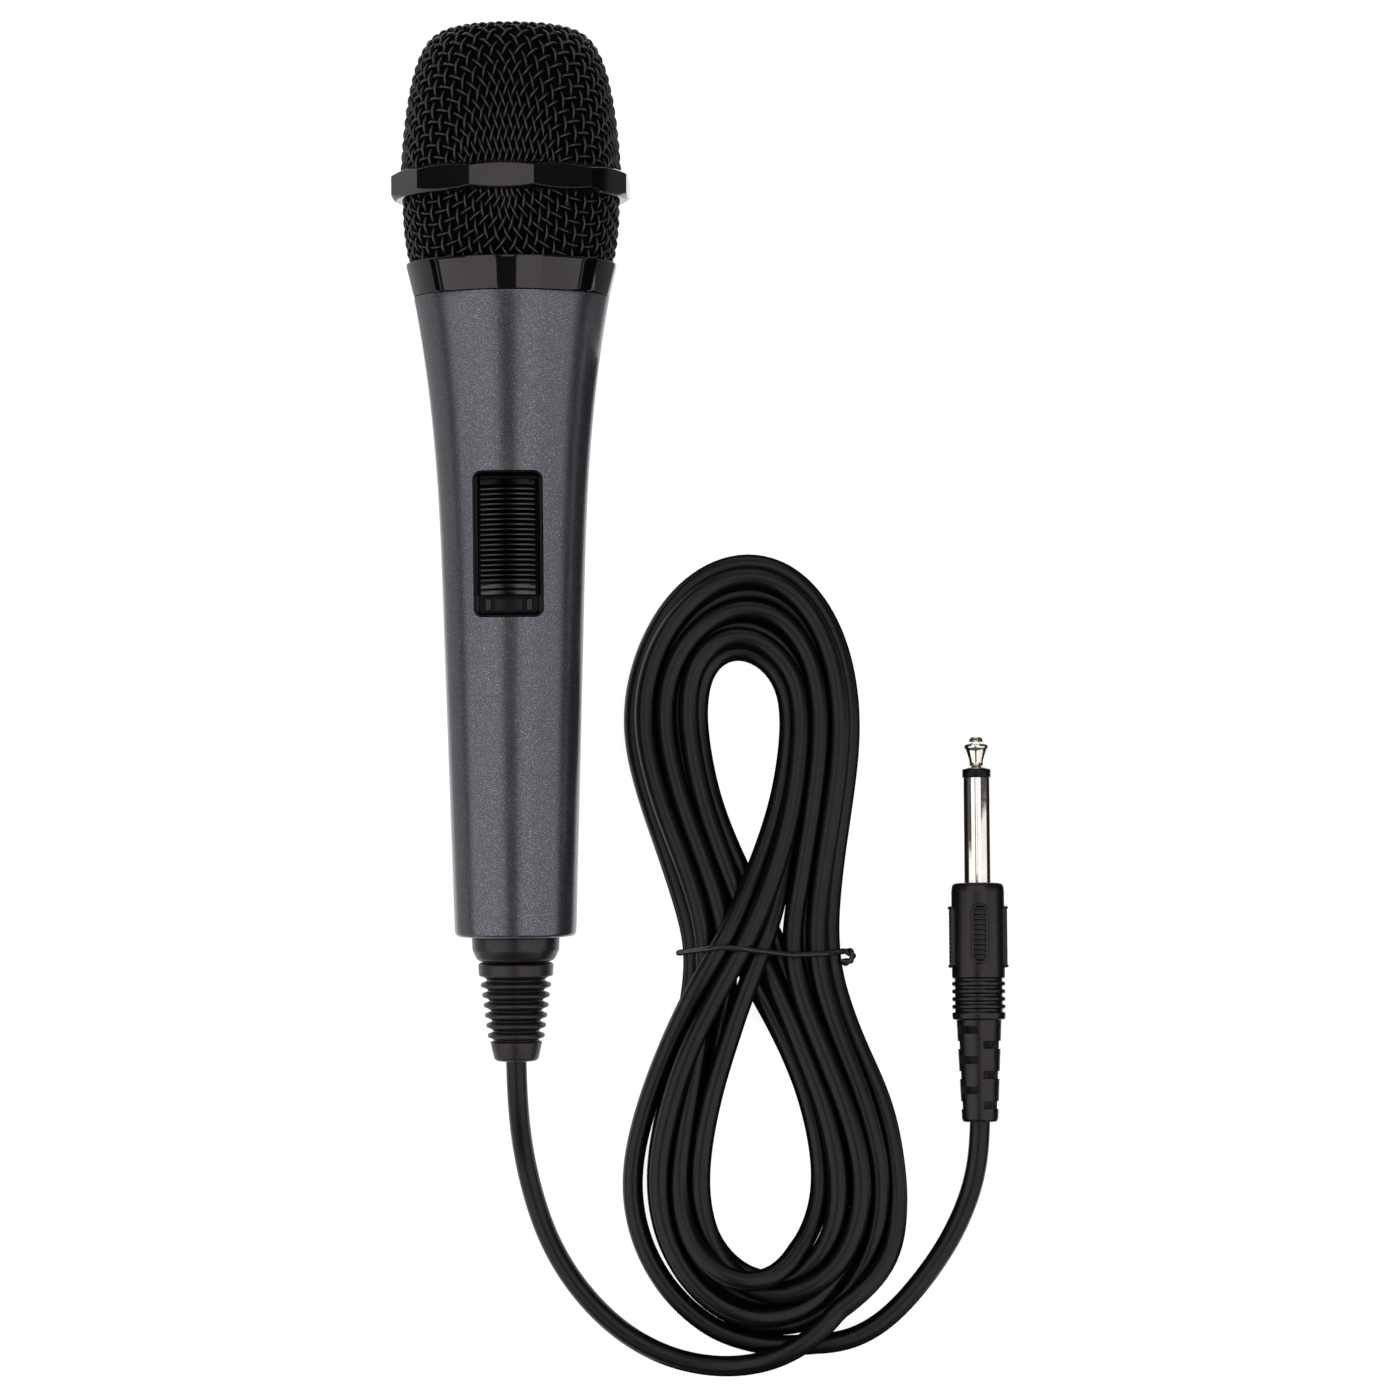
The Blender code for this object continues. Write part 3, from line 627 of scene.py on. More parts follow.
# One row for each turn of the hank: whether it crosses at the tie, the y that its top reaches, and then the
# (x, layer) of its upper right, upper left, rising, falling, lower left and lower right strands.
TURNS = (
    (False, -2.6, (78.4, 0), (27.6, 0), (72.5, 0), (41.6, 0), (31.6, 0), (87.0, 0)),
    (False, -5.8, (76.2, 1), (29.8, 1), (70.2, 1), (43.9, 1), (37.8, 1), (84.8, 1)),
    (True, -17.0, (69.6, 0), (36.7, 0), (51.0, 0), (57.6, 2.2), (41.6, 1), (74.0, 0)),
    (False, -13.4, (71.8, 1), (34.3, 1), (63.4, 1), (48.5, 1), (41.2, 0), (80.4, 1)),
    (True, -20.0, (67.4, 1), (39.0, 1), (55.8, 0), (52.6, 2.2), (33.8, 1), (76.1, 1)),
    (False, -9.4, (74.0, 0), (32.1, 0), (67.9, 0), (46.2, 0), (36.6, 0), (82.5, 0)),
    (True, -22.8, (65.3, 0), (41.2, 0), (60.5, 0), (47.6, 2.2), (26.6, 0), (78.2, 0)),
)
# The layer of each turn's top end, and the y that its bottom end reaches with the layer it lies in.
TOP_LAYERS = (0, 1, 0, 1, 1, 0, 0)
BOTTOMS = ((-182.6, 0), (-175.4, 2), (-176.6, 1), (-174.2, 0), (-180.9, 1), (-178.5, 0))


def layer_height(layer):
    return CORD_RADIUS + FLOOR_Z + LAYER * layer


def end_loop(start, end, y, reach, skew, layer):
    """A rounded end between two (x, z) strands, reaching past y by a signed reach and lying in a layer there.

    The strands run straight on first if half an ellipse from y would be too sharp."""
    out = []
    half = abs(end[0] - start[0]) / 2
    straight = max(0.0, abs(reach) - (0.9 + 0.026 * half) * half)
    y += math.copysign(straight, reach)
    reach -= math.copysign(straight, reach)
    lift = layer_height(layer) - (start[1] + end[1]) / 2
    for step in range(9):
        angle = math.pi * step / 8
        part = (1 - math.cos(angle)) / 2
        eased = part * part * (3 - 2 * part)
        x = start[0] + (end[0] - start[0]) * part + skew * math.sin(angle) ** 2
        up = start[1] + (end[1] - start[1]) * eased + lift * math.sin(angle) ** 2
        out.append((x, y + reach * math.sin(angle), up))
    return out


def between(start, end, parts, late=0.0):
    """Points of an S-shaped run from one (x, y, z) to another.

    A strand that crosses moves sideways mostly near the tie: late is 1 if it ends there, -1 if it starts."""
    out = []
    for part in parts:
        eased = part * part * (3 - 2 * part)
        across = 0.75 * eased + 0.25 * part
        if late:
            across = part**1.6 if late > 0 else 1 - (1 - part) ** 1.6
        out.append((
            start[0] + (end[0] - start[0]) * across,
            start[1] + (end[1] - start[1]) * part,
            start[2] + (end[2] - start[2]) * (eased if not late else across),
        ))
    return out


def strand_at(strand, y):
    """The (x, y, z) of an (x, layer) strand where it passes a y."""
    return (strand[0], y, layer_height(strand[1]))


def hank_turn(index):
    """The route of one turn: up the right side, over the top, down the left and round to the next turn."""
    crossed, top, upper_right, upper_left, rising, falling, lower_left, lower_right = TURNS[index]
    first, last = (upper_left, upper_right) if crossed else (upper_right, upper_left)
    late = 1 if crossed else 0
    before, after = (0.3, 0.6, 0.85), (0.15, 0.4, 0.7)
    tied = strand_at(rising, TIE_Y)
    near, far = strand_at(first, TOP_Y), strand_at(last, TOP_Y)
    out = between(strand_at(lower_right, BOTTOM_Y), tied, before, late) + [tied]
    out += between(tied, near, after, -late)
    skew = -2.0 if crossed else 2.0
    out += end_loop((near[0], near[2]), (far[0], far[2]), TOP_Y, top - TOP_Y, skew, TOP_LAYERS[index])
    tied = strand_at(falling, TIE_Y)
    low = strand_at(lower_left, BOTTOM_Y)
    out += between(far, tied, before, late) + [tied]
    out += between(tied, low, after, -late)
    start = (low[0], low[2])
    if index < len(TURNS) - 1:
        x, layer = TURNS[index + 1][7]
        reach, end_layer = BOTTOMS[index]
        return out + end_loop(start, (x, layer_height(layer)), BOTTOM_Y, reach - BOTTOM_Y, 1.0, end_layer)
    return out + end_loop(start, (low[0] + 80, low[2]), BOTTOM_Y, LOWEST_Y - BOTTOM_Y, 0.0, 0)[:5]


def cord_guide():
    """The cord's whole route before its strands have pushed each other apart, 3 mm between points."""
    route = list(LEAD_ROUTE)
    for index in range(len(TURNS)):
        route += hank_turn(index)
    line = evenly(smooth_line(route + list(TAIL_ROUTE)), 3.0)
    for _ in range(6):
        line[1:-1] += 0.5 * ((line[:-2] + line[2:]) / 2 - line[1:-1])
    return evenly(line, 3.0)


def settled(guide, steps):
    """The guide after its strands have pushed each other apart and sunk under their own weight.

    What moves is each point's distance from the guide, and it is smoothed like a stiff rod at each step."""
    line = guide.copy()
    count = len(line)
    thick = 2 * CORD_RADIUS
    number = np.arange(count)
    # 0 where the cord is held at its two ends, and 1 where it lies loose.
    free = (np.clip((number - 42) / 8, 0, 1) * np.clip((count - 24 - number) / 8, 0, 1))[:, None]
    first, second = np.triu_indices(count, 6)
    near_tie = np.exp(-(((guide[:, 1] - TIE_Y) / 9.0) ** 2))
    low = CORD_RADIUS + FLOOR_Z + 1.25 * near_tie
    for step in range(steps):
        part = step / steps
        moved = line - guide
        for _ in range(6 if part < 0.9 else 3):
            bend = moved[:-4] - 4 * moved[1:-3] + 6 * moved[2:-2] - 4 * moved[3:-1] + moved[4:]
            moved[2:-2] -= free[2:-2] * 0.05 * bend
            moved[1:-1] += free[1:-1] * 0.25 * ((moved[:-2] + moved[2:]) / 2 - moved[1:-1])
        moved *= 1 - 0.004 * (1 - part)
        line = guide + moved * np.minimum(1, free * 4)
        line[:, 2:] -= free * 0.006
        if part < 0.85:
            line[:, 0] += free[:, 0] * near_tie * 0.005 * (TIE_X - line[:, 0])
        if step % 10 == 0:
            close = (np.abs(line[first] - line[second]) < thick + 2.5).all(1)
            one, other = first[close], second[close]
        for _ in range(2):
            apart = line[one] - line[other]
            gap = np.linalg.norm(apart, axis=1)
            hit = gap < thick
            a, b = one[hit], other[hit]
            push = apart[hit] * ((thick - gap[hit]) * 0.5 / np.maximum(gap[hit], 1e-6))[:, None]
            total, shares = np.zeros_like(line), np.zeros(count)
            np.add.at(total, a, push)
            np.add.at(total, b, -push)
            np.add.at(shares, a, 1)
            np.add.at(shares, b, 1)
            line += free * total / np.maximum(1, shares)[:, None] * 1.6
            line[:, 2] = np.where(free[:, 0] > 0, np.maximum(line[:, 2], low), line[:, 2])
    return line


def tie_loop(strands):
    """A closed line of (x, z) round the strands' cut through the tie, a wire's radius clear of them."""
    reach = CORD_RADIUS + 0.7
    angles = np.linspace(0, math.tau, 120, endpoint=False)
    ways = np.stack([np.cos(angles), np.sin(angles)], 1)
    far = (strands @ ways.T).max(0) + reach
    turned_by = np.roll(far, -1) - np.roll(far, 1)
    slope = turned_by / (angles[1] * 2)
    across = np.stack([-np.sin(angles), np.cos(angles)], 1)
    return ways * far[:, None] + across * slope[:, None]


def cord():
    """The whole lead from the strain relief to the plug, as one tube, with the wire that ties the hank."""
    guide = cord_guide()
    line = settled(guide, 500)
    fine = evenly(smooth_line(line), 1.8)
    fine[0], fine[-1] = LEAD_ROUTE[0], TAIL_ROUTE[-1]
    nodes = ("cord_lead", "cord_hank", "cord_tail")
    obj = tube_piece("cord", fine, CORD_RADIUS, 20, "jacket", nodes)
    length = np.linalg.norm(np.diff(fine, axis=0), axis=1).sum() * MM
    crossing = np.diff(np.sign(line[:, 1] - TIE_Y)) != 0
    strands = line[:-1][crossing]
    strands = strands[(strands[:, 0] > 20) & (strands[:, 0] < 95)][:, [0, 2]]
    loop = tie_loop(strands)
    wave = 0.9 * np.sin((loop[:, 0] - 38) / 6.0)
    ring = np.stack([loop[:, 0], TIE_Y - 0.6 + wave, np.maximum(loop[:, 1], 0.65)], 1)
    ring = np.vstack([ring, ring[:2]])
    tie = tube_piece("cord_tie_wire", ring, 0.68, 12, "tie", ("cord_tie",))
    return obj, fine, length, tie, ring


def twisted_end(ring):
    """The tie's two free ends, twisted round each other at the right of the hank."""
    corner = ring[np.argmax(ring[:, 0] + 0.15 * ring[:, 2])]
    out = []
    for phase in (0.0, math.pi):
        steps = np.linspace(0, 1, 40)
        turn = phase + steps * math.tau * 1.75
        wide = 0.5 * np.minimum(1, steps * 6)
        bent = np.clip(steps * 4.4 - 0.6, 0, None)
        reach = 1.5 * np.sin(bent) + 0.6 * np.minimum(1, steps * 4)
        middle = corner + np.stack([reach, 1.3 * (np.cos(bent) - 1), 0.8 * steps], 1)
        sideways, upward = np.array((0.45, 0.8, 0.1)), np.array((-0.3, 0.0, 0.95))
        out.append(middle + np.outer(wide * np.cos(turn), sideways) + np.outer(wide * np.sin(turn), upward))
    return out


# ---------------------------------------------------------------- the handle


def handle_radius(s):
    flare = max(0.0, (s - FLARE_START) / (HANDLE_LENGTH - FLARE_START)) ** FLARE_POWER
    return TAIL_RADIUS + HANDLE_TAPER * s + FLARE_GROWTH * flare


def on_handle(x, s, proud=0.0):
    """The height of the handle's surface over a point, raised by proud."""
    radius = handle_radius(s) + proud
    return math.sqrt(max(radius**2 - x**2, 0.0))


def cut(obj, cutter):
    """Takes a helper mesh away from a piece and removes the helper."""
    modifier = obj.modifiers.new("cut", "BOOLEAN")
    modifier.operation = "DIFFERENCE"
    modifier.object = cutter
    modifier.solver = "EXACT"
    modifier.material_mode = "TRANSFER"
    apply_modifiers(obj)
    bpy.data.objects.remove(cutter)


def apply_modifiers(obj):
    bpy.context.view_layer.update()
    graph = bpy.context.evaluated_depsgraph_get()
    made = bpy.data.meshes.new_from_object(obj.evaluated_get(graph), depsgraph=graph)
    obj.modifiers.clear()
    obj.data = made


def helper(name, vertices, faces):
    """A closed mesh that cuts a piece and is then removed."""
    mesh = mesh_of(name, vertices, faces)
    face_outwards(mesh)
    return placed(name, mesh)


def handle():
    """The painted barrel: a long taper that flares towards the head, with the switch's opening cut in it."""
    edge = np.linspace(0, math.pi / 2, 7)
    outer = [(TAIL_START + 1.1 * (1 - math.cos(a)), TAIL_RADIUS - 1.1 * (1 - math.sin(a))) for a in edge]
    outer += [(s, handle_radius(s)) for s in np.linspace(3, HANDLE_LENGTH - 0.35, 74)]
    widest = handle_radius(HANDLE_LENGTH)
    outer += [(HANDLE_LENGTH - 0.1, widest - 0.08), (HANDLE_LENGTH, widest - 0.35)]
    inner = [(s, handle_radius(s) - HANDLE_WALL) for s in np.linspace(HANDLE_LENGTH, 1.9, 30)]
    outline = outer + inner + [(1.9, 10.2), (TAIL_START, 10.2)]
    vertices, faces = lathe_mesh(outline, 160)
    nodes = ("handle_shell",)
    obj = piece("handle_barrel", mic(vertices), faces, "paint", "handle", nodes, 30)
    opening = rectangle(BEZEL_SIZE[0] + 0.3, BEZEL_SIZE[1] + 0.3, 2.05)
    loops = [[(x, y + SWITCH_MIDDLE, up) for x, y in opening] for up in (8.0, 26.0)]
    vertices, faces = loft(loops, (True, True))
    cut(obj, helper("opening", rolled(vertices), faces))
    shade(obj.data, 30)


def raised_loop(size, inset, corner, proud, up=None):
    """A rounded rectangle on the handle, inset from a size, at a height over it or at one flat height."""
    out = []
    for x, y in rectangle(size[0] - inset, size[1] - inset, corner, 8, 12):
        s = y + SWITCH_MIDDLE
        out.append((x, s, on_handle(x, s, proud) if up is None else up))
    return out


def bezel():
    """The switch's frame and tray, with a rounded rim that follows the handle."""
    rim = (
        (0.0, 1.9, -2.4), (0.0, 1.9, 0.02), (0.1, 1.85, 0.18), (0.3, 1.75, 0.26), (0.55, 1.65, 0.22),
        (0.75, 1.55, 0.02), (0.85, 1.5, -0.9),
    )
    loops = [raised_loop(BEZEL_SIZE, 1.6, 1.3, 0, 10.9)]
    loops += [raised_loop(BEZEL_SIZE, *row) for row in rim]
    loops.append(raised_loop(POCKET_SIZE, -0.5, 1.15, -1.25))
    loops.append(raised_loop(POCKET_SIZE, 0, 0.9, -1.5))
    loops.append(raised_loop(POCKET_SIZE, 0, 0.9, 0, TRAY_FLOOR))
    vertices, faces = loft(loops, (True, True))
    nodes = ("switch_bezel",)
    piece("switch_frame", rolled(vertices), faces, "frame", "handle", nodes, 50)
    for side in (-1, 1):
        base = rectangle(1.25, 3.1, 0.45, 5)
        rising = []
        for lift, inset in ((-0.1, 0.0), (0.15, 0.0), (0.27, 0.14), (0.34, 0.4)):
            narrow, short = 1 - inset / 0.7, 1 - inset / 1.6
            rising.append([(side * 4.75 + x * narrow, 77.25 + y * short, TRAY_FLOOR + lift) for x, y in base])
        vertices, faces = loft(rising, (True, True))
        name = "switch_stop_left" if side < 0 else "switch_stop_right"
        piece(name, rolled(vertices), faces, "matte", "handle", (), 50)
    section = ((-3.1, 0), (-3.1, 0.24), (-2.9, 0.34), (2.9, 0.34), (3.1, 0.24), (3.1, 0))
    ridge = [[(x, s, TRAY_FLOOR + lift) for x, lift in section] for s in (75.9, 78.5)]
    vertices, faces = loft(ridge, (True, True))
    piece("switch_tray_step", rolled(vertices), faces, "frame", "handle", (), 30)


def slider():
    """The sliding button: a crowned block with ribs across it and two wider bars at its tail end."""
    width, length = SLIDER_SIZE
    tail = SLIDER_MIDDLE - length / 2
    across = np.linspace(-1, 1, 33)
    pitch = 1.16
    stations = [0.0, 0.05, 0.12, 0.22, 0.36]
    profile = [-0.9, -0.35, -0.14, -0.04, 0.0]
    at = 0.36
    for wide in (1.0, 1.25):
        stations += [at + wide * f for f in (0.5, 0.78, 0.9, 1.0, 1.12, 1.24)]
        profile += [0.03, 0.0, -0.16, -0.42, -0.16, 0.0]
        at += wide + 0.24
    ribs = int((length - at - 1.5) / pitch)
    for _ in range(ribs):
        stations += [at + pitch * f for f in (0.1, 0.2, 0.3, 0.4, 0.5, 0.62, 0.74, 0.86, 1.0)]
        profile += [-0.22, -0.06, 0.0, 0.0, -0.06, -0.26, -0.46, -0.52, -0.42]
        at += pitch
    stations += [at + 0.25, length - 0.4, length - 0.22, length - 0.08, length]
    profile += [-0.02, -0.02, -0.06, -0.2, -0.9]
    crown = 12.9
    rows, raised = [], []
    for along, lift in zip(stations, profile):
        s = tail + along
        row = []
        # Painted light on the button: it is painted lighter and glossier towards its two sides, with painted
        # shade just off its middle, and the last 1.6 mm at the head end are painted darker and duller.
        darker_end = 0.2 if along > length - 1.6 else 1.0
        painted_light_across = darker_end * np.minimum(1, 0.18 + 1.15 * np.abs(across + 0.06) ** 1.3)
        raised += [0.0, *(min(1.0, max(0.0, 1 + lift / 0.4)) * painted_light_across), 0.0]
        for part in across:
            x = part * width / 2
            top = math.sqrt(crown**2 - x**2) + 5.0 + HANDLE_TAPER * (s - SLIDER_MIDDLE)
            edge = (width / 2 - abs(x)) / 0.45
            rounding = 0.35 * (1 - math.sqrt(max(0.0, 1 - (1 - min(1.0, edge)) ** 2)))
            row.append((x, s, top - 0.42 + lift - rounding))
        rows.append([(-width / 2, s, BUTTON_UNDERSIDE)] + row + [(width / 2, s, BUTTON_UNDERSIDE)])
    rows[0] = [(x, s, BUTTON_UNDERSIDE) for x, s, _ in rows[0]]
    rows.append([(x, s, BUTTON_UNDERSIDE) for x, s, _ in rows[-1]])
    raised += [0.0] * (len(across) + 2)
    vertices, faces = loft(rows, (False, False))
    nodes = ("switch_slider",)
    obj = piece("switch_button", rolled(vertices), faces, "ribbed", "slider", nodes, 50)
    mark_raised(obj, raised)


def shifted(outline):
    """An outline drawn from the handle's end, as (along, radius, fillet) points on the microphone's axis."""
    return [(along + TAIL_START, radius, fillet) for along, radius, fillet in outline]


def gland():
    outline = [
        (0.4, 9.9, 0.0), (-0.3, 9.9, 0.0), (-0.32, 10.2, 0.12), (-3.1, 10.1, 0.4), (-5.3, 9.15, 0.5),
        (-5.75, 8.5, 0.25), (-5.9, 7.9, 0.2), (-5.9, 4.6, 0.0), (0.4, 4.6, 0.0),
    ]
    turned("tail_ring", shifted(outline), "matte", "handle", ("tail_gland",), 96)


def boot():
    """The strain relief: a flange, six round-edged ribs that shrink towards the cord, and a tapered end."""
    pitch = 2.35
    outline = [
        (-6.15, 4.4, 0.0), (-6.15, 8.2, 0.3), (-6.5, 8.75, 0.25), (-9.2, 8.6, 0.3), (-9.5, 7.6, 0.3),
        (-9.9, 6.9, 0.2),
    ]
    for rib in range(6):
        peak = -11.35 - pitch * rib
        tip, root = 8.2 - 0.31 * rib, 6.75 - 0.3 * rib
        steps = ((0.95, root), (0.38, tip), (-0.38, tip), (-0.95, root))
        outline += [(peak + along, radius, 0.3) for along, radius in steps]
    outline += [
        (-24.3, 5.2, 0.12), (-24.6, 6.05, 0.25), (-28.55, 5.15, 0.4), (-29.0, 4.6, 0.2), (-29.0, 2.45, 0.0),
        (-6.15, 2.45, 0.0),
    ]
    vertices, faces = lathe_mesh(softened(shifted(outline)), 80)
    points = np.array(vertices)
    radius = np.hypot(points[:, 0], points[:, 2])
    azimuth = np.arctan2(points[:, 0], points[:, 2])
    for seam in (-0.62, math.pi - 0.62):
        off = np.abs((azimuth - seam + math.pi) % math.tau - math.pi)
        raised = np.where(radius > 3, 0.16 * np.exp(-((off * radius / 0.3) ** 2)), 0)
        points[:, 0] += np.sin(azimuth) * raised
        points[:, 2] += np.cos(azimuth) * raised
    piece("strain_relief", mic(points), faces, "rubber", "handle", ("strain_relief_boot",))


# ---------------------------------------------------------------- the head


def collar():
    outline = [
        (149.0, 22.55, 0.0), (149.0, 22.7, 0.08), (149.3, 22.82, 0.1), (156.0, 24.42, 0.2),
        (156.6, 24.42, 0.35), (156.75, 23.4, 0.15), (156.2, 22.2, 0.2), (153.5, 21.5, 0.0),
        (153.5, 19.1, 0.2), (149.4, 19.1, 0.2), (149.0, 19.6, 0.0),
    ]
    turned("collar_ring", outline, "gloss", "head", ("head_collar",), 192)


def band():
    """The faceted ring: flats cut into a ring whose two edges are coned, so each flat is barrel-shaped."""
    columns = BAND_FLATS * 16
    half = math.pi / BAND_FLATS
    corner = BAND_FLAT / math.cos(half)
    edge_radius = BAND_FLAT - 0.42
    cone = 0.62
    loops = [[] for _ in range(9)]
    for k in range(columns):
        angle = math.tau * k / columns
        off = (angle + half) % (2 * half) - half
        flat = BAND_FLAT / math.cos(off)
        rise = (flat - edge_radius) * cone / (corner - BAND_FLAT) * 0.9 + 0.12
        rows = (
            (BAND_START, 24.4), (BAND_START, edge_radius - 0.5), (BAND_START + 0.06, edge_radius - 0.06),
            (BAND_START + rise, flat), ((BAND_START + BAND_END) / 2, flat), (BAND_END - rise, flat),
            (BAND_END - 0.06, edge_radius - 0.06), (BAND_END, edge_radius - 0.5), (BAND_END, 24.4),
        )
        for row, (s, radius) in enumerate(rows):
            loops[row].append((radius * math.sin(angle), s, radius * math.cos(angle)))
    vertices, faces = loft(loops + loops[:1])
    count = len(loops) * columns
    faces = [tuple(v % count for v in face) for face in faces]
    nodes = ("grille_band",)
    obj = piece("band_ring", rolled(vertices[:count]), faces, "gloss", "head", nodes, 12)
    bevel = obj.modifiers.new("edges", "BEVEL")
    bevel.width = 0.13 * MM
    bevel.segments = 2
    bevel.limit_method = "ANGLE"
    bevel.angle_limit = math.radians(12)
    bevel.harden_normals = True
    apply_modifiers(obj)


def thread_radius(turn):
    return THREAD_ROOT + THREAD_DEPTH * (0.5 + 0.5 * np.cos(turn))


def neck():
    """The threaded insert that the head screws on to."""
    inner = THREAD_ROOT - 1.15
    steps = int((NECK_END - NECK_START) / THREAD_PITCH * 6) + 1
    outline = [(NECK_START, inner)]
    for step in range(steps):
        s = NECK_START + step * THREAD_PITCH / 6
        outline.append((s, thread_radius(math.tau * s / THREAD_PITCH)))
    outline += [(NECK_END, THREAD_ROOT - 0.05), (NECK_END, inner)]
    vertices, faces = lathe_mesh(outline, 96)
    points = np.array(vertices)
    azimuth = np.arctan2(points[:, 0], points[:, 2])
    radius = np.hypot(points[:, 0], points[:, 2])
    wave = thread_radius(math.tau * points[:, 1] / THREAD_PITCH - azimuth)
    threaded = (radius > THREAD_ROOT - 0.15) & (points[:, 1] < NECK_END - 0.3)
    radius = np.where(threaded, wave, radius)
    points[:, 0], points[:, 2] = radius * np.sin(azimuth), radius * np.cos(azimuth)
    piece("neck_thread", mic(points), faces, "steel", "handle", ("neck_ring",), 60)


# ---------------------------------------------------------------- woven grilles


class Surface:
    """A surface of revolution about the microphone's axis, given by its profile from its pole outwards."""

    def __init__(self, profile):
        self.points = np.asarray(profile, float)
        self.ways = np.diff(self.points, axis=0)
        self.lengths = (self.ways**2).sum(1)

    def nearest(self, point):
        """The surface point nearest to an (x, s, up) point, and the outward normal there."""
        radius = math.hypot(point[0], point[2])
        flat = np.array((point[1], radius))
        part = np.clip(((flat - self.points[:-1]) * self.ways).sum(1) / self.lengths, 0, 1)
        foot = self.points[:-1] + self.ways * part[:, None]
        best = ((foot - flat) ** 2).sum(1).argmin()
        s, r = foot[best]
        along, out = self.ways[best] / math.sqrt(self.lengths[best])
        way = np.array((point[0], 0.0, point[2])) / max(radius, 1e-9)
        normal = way * abs(along) + np.array((0.0, -math.copysign(out, along), 0.0))
        return way * r + np.array((0.0, s, 0.0)), normal


def woven_net(surface, pitch, count):
    """Crossings of two families of wires a pitch apart, as cloth lies when it is pressed over the surface.

    Returns {(i, j): (point, normal)}. The two first wires cross at the pole, 45 degrees off the front."""
    pole = np.array((0.0, surface.points[0][0], 0.0))
    net = {}
    for axis in (0, 1):
        azimuth = math.pi / 4 - axis * math.pi / 2
        way = np.array((math.sin(azimuth), 0.0, math.cos(azimuth)))
        reach = np.concatenate([[0], np.cumsum(np.sqrt(surface.lengths))])
        for step in range(count + 1):
            at = min(step * pitch, reach[-1])
            s = np.interp(at, reach, surface.points[:, 0])
            r = np.interp(at, reach, surface.points[:, 1])
            point, normal = surface.nearest(way * max(r, 1e-6) + np.array((0.0, s, 0.0)))
            net[(step, 0) if axis == 0 else (0, step)] = (point, normal)
    facing = math.copysign(1.0, surface.points[0][0] - surface.points[-1][0])
    net[(0, 0)] = (pole, np.array((0.0, facing, 0.0)))
    for total in range(2, 2 * count + 1):
        for i in range(max(1, total - count), min(count, total - 1) + 1):
            j = total - i
            left, right, back = net[(i - 1, j)][0], net[(i, j - 1)][0], net[(i - 1, j - 1)][0]
            point = left + right - back
            for _ in range(24):
                point, normal = surface.nearest(point)
                for other in (left, right):
                    away = point - other
                    point = other + away * (0.5 + 0.5 * pitch / max(np.linalg.norm(away), 1e-9))
            net[(i, j)] = surface.nearest(point)
    whole = {}
    for (i, j), (point, normal) in net.items():
        for _ in range(4):
            whole[(i, j)] = (point, normal)
            i, j = -j, i
            point = np.array((-point[2], point[1], point[0]))
            normal = np.array((-normal[2], normal[1], normal[0]))
    return whole


def wires(net, count, inside, crimp):
    """Lines along both families of wires, waving over and under each other, cut to where inside(s) holds.

    Each comes with how far it is raised at each of its points, from 0 to 1, which later sets the painted shade
    where it dips."""
    lines = []
    for family in (0, 1):
        for fixed in range(-count, count + 1):
            run, lift = [], []
            for moving in range(-count, count + 1):
                point, normal = net[(fixed, moving) if family == 0 else (moving, fixed)]
                over = 1 if (fixed + moving + family) % 2 == 0 else -1
                run.append(point + normal * (over * crimp))
                lift.append((0.5 + 0.5 * over,) * 3)
            run = smooth_wire(np.array(run))
            lift = smooth_wire(np.array(lift))[:, 0]
            start = None
            for index, shown in enumerate(list(inside(run[:, 1])) + [False]):
                if shown and start is None:
                    start = index
                elif not shown and start is not None:
                    if index - start > 3:
                        lines.append((run[start:index], lift[start:index]))
                    start = None
    return lines


def smooth_wire(points, per_span=4):
    """A uniform Catmull-Rom curve with the same number of points in each span."""
    keys = np.vstack([2 * points[0] - points[1], points, 2 * points[-1] - points[-2]])
    t = (np.arange(per_span) / per_span)[:, None]
    out = []
    for a, b, c, d in zip(keys, keys[1:], keys[2:], keys[3:]):
        bend, twist = 2 * a - 5 * b + 4 * c - d, 3 * b - a - 3 * c + d
        out.append(0.5 * (2 * b + (c - a) * t + bend * t**2 + twist * t**3))
    return np.vstack(out + [points[-1:]])


def wire_mesh(name, lines, nodes):
    """One mesh of many wires. Its attribute raised is 1 where a wire comes over another, 0 where it dips, and
    the wire look paints shade and duller reflections into the dips by it.
    """
    sides = 6
    vertices, faces, raised, total = [], [], [], 0
    for line, lift in lines:
        tube, tube_faces, _ = tube_mesh(line, WIRE_RADIUS, sides)
        vertices.append(tube)
        raised.append(np.repeat(lift, sides))
        faces += [tuple(v + total for v in face) for face in tube_faces]
        total += len(tube)
    obj = piece(name, mic(np.vstack(vertices)), faces, "wire", "head", nodes, 0)
    mark_raised(obj, np.concatenate(raised))


def bowl(base, height, radius, squareness, inset, skirt, taper=0.0):
    """The profile of a bowl from its pole, height past base, down to its rim and along a straight skirt."""
    out = []
    for a in np.linspace(0, math.pi / 2, 220):
        along = base + (height - math.copysign(inset, height)) * math.cos(a)
        reach = radius * (1 - taper * math.cos(a)) * math.sin(a) ** (2 / squareness) - inset * math.sin(a)
        out.append((along, max(0.0, reach)))
    out.append((base - math.copysign(skirt, height), radius - inset))
    return out


def eased_apart(net, weight):
    """The net with the wires in the middle of each quarter spread out and those near its edges drawn closer.

    weight(s) is how much further apart the middle ones are at a place along the axis."""
    quarter = math.pi / 4
    moved = {}
    for key, (point, normal) in net.items():
        azimuth = math.atan2(point[0], point[2])
        middle = round(azimuth / (2 * quarter)) * 2 * quarter
        part = (azimuth - middle) / quarter
        turn = part * weight(point[1]) * math.exp(-((part / 0.36) ** 2)) * quarter
        cos, sin = math.cos(turn), math.sin(turn)
        moved[key] = (
            np.array((point[0] * cos + point[2] * sin, point[1], point[2] * cos - point[0] * sin)),
            np.array((normal[0] * cos + normal[2] * sin, normal[1], normal[2] * cos - normal[0] * sin)),
        )
    return moved


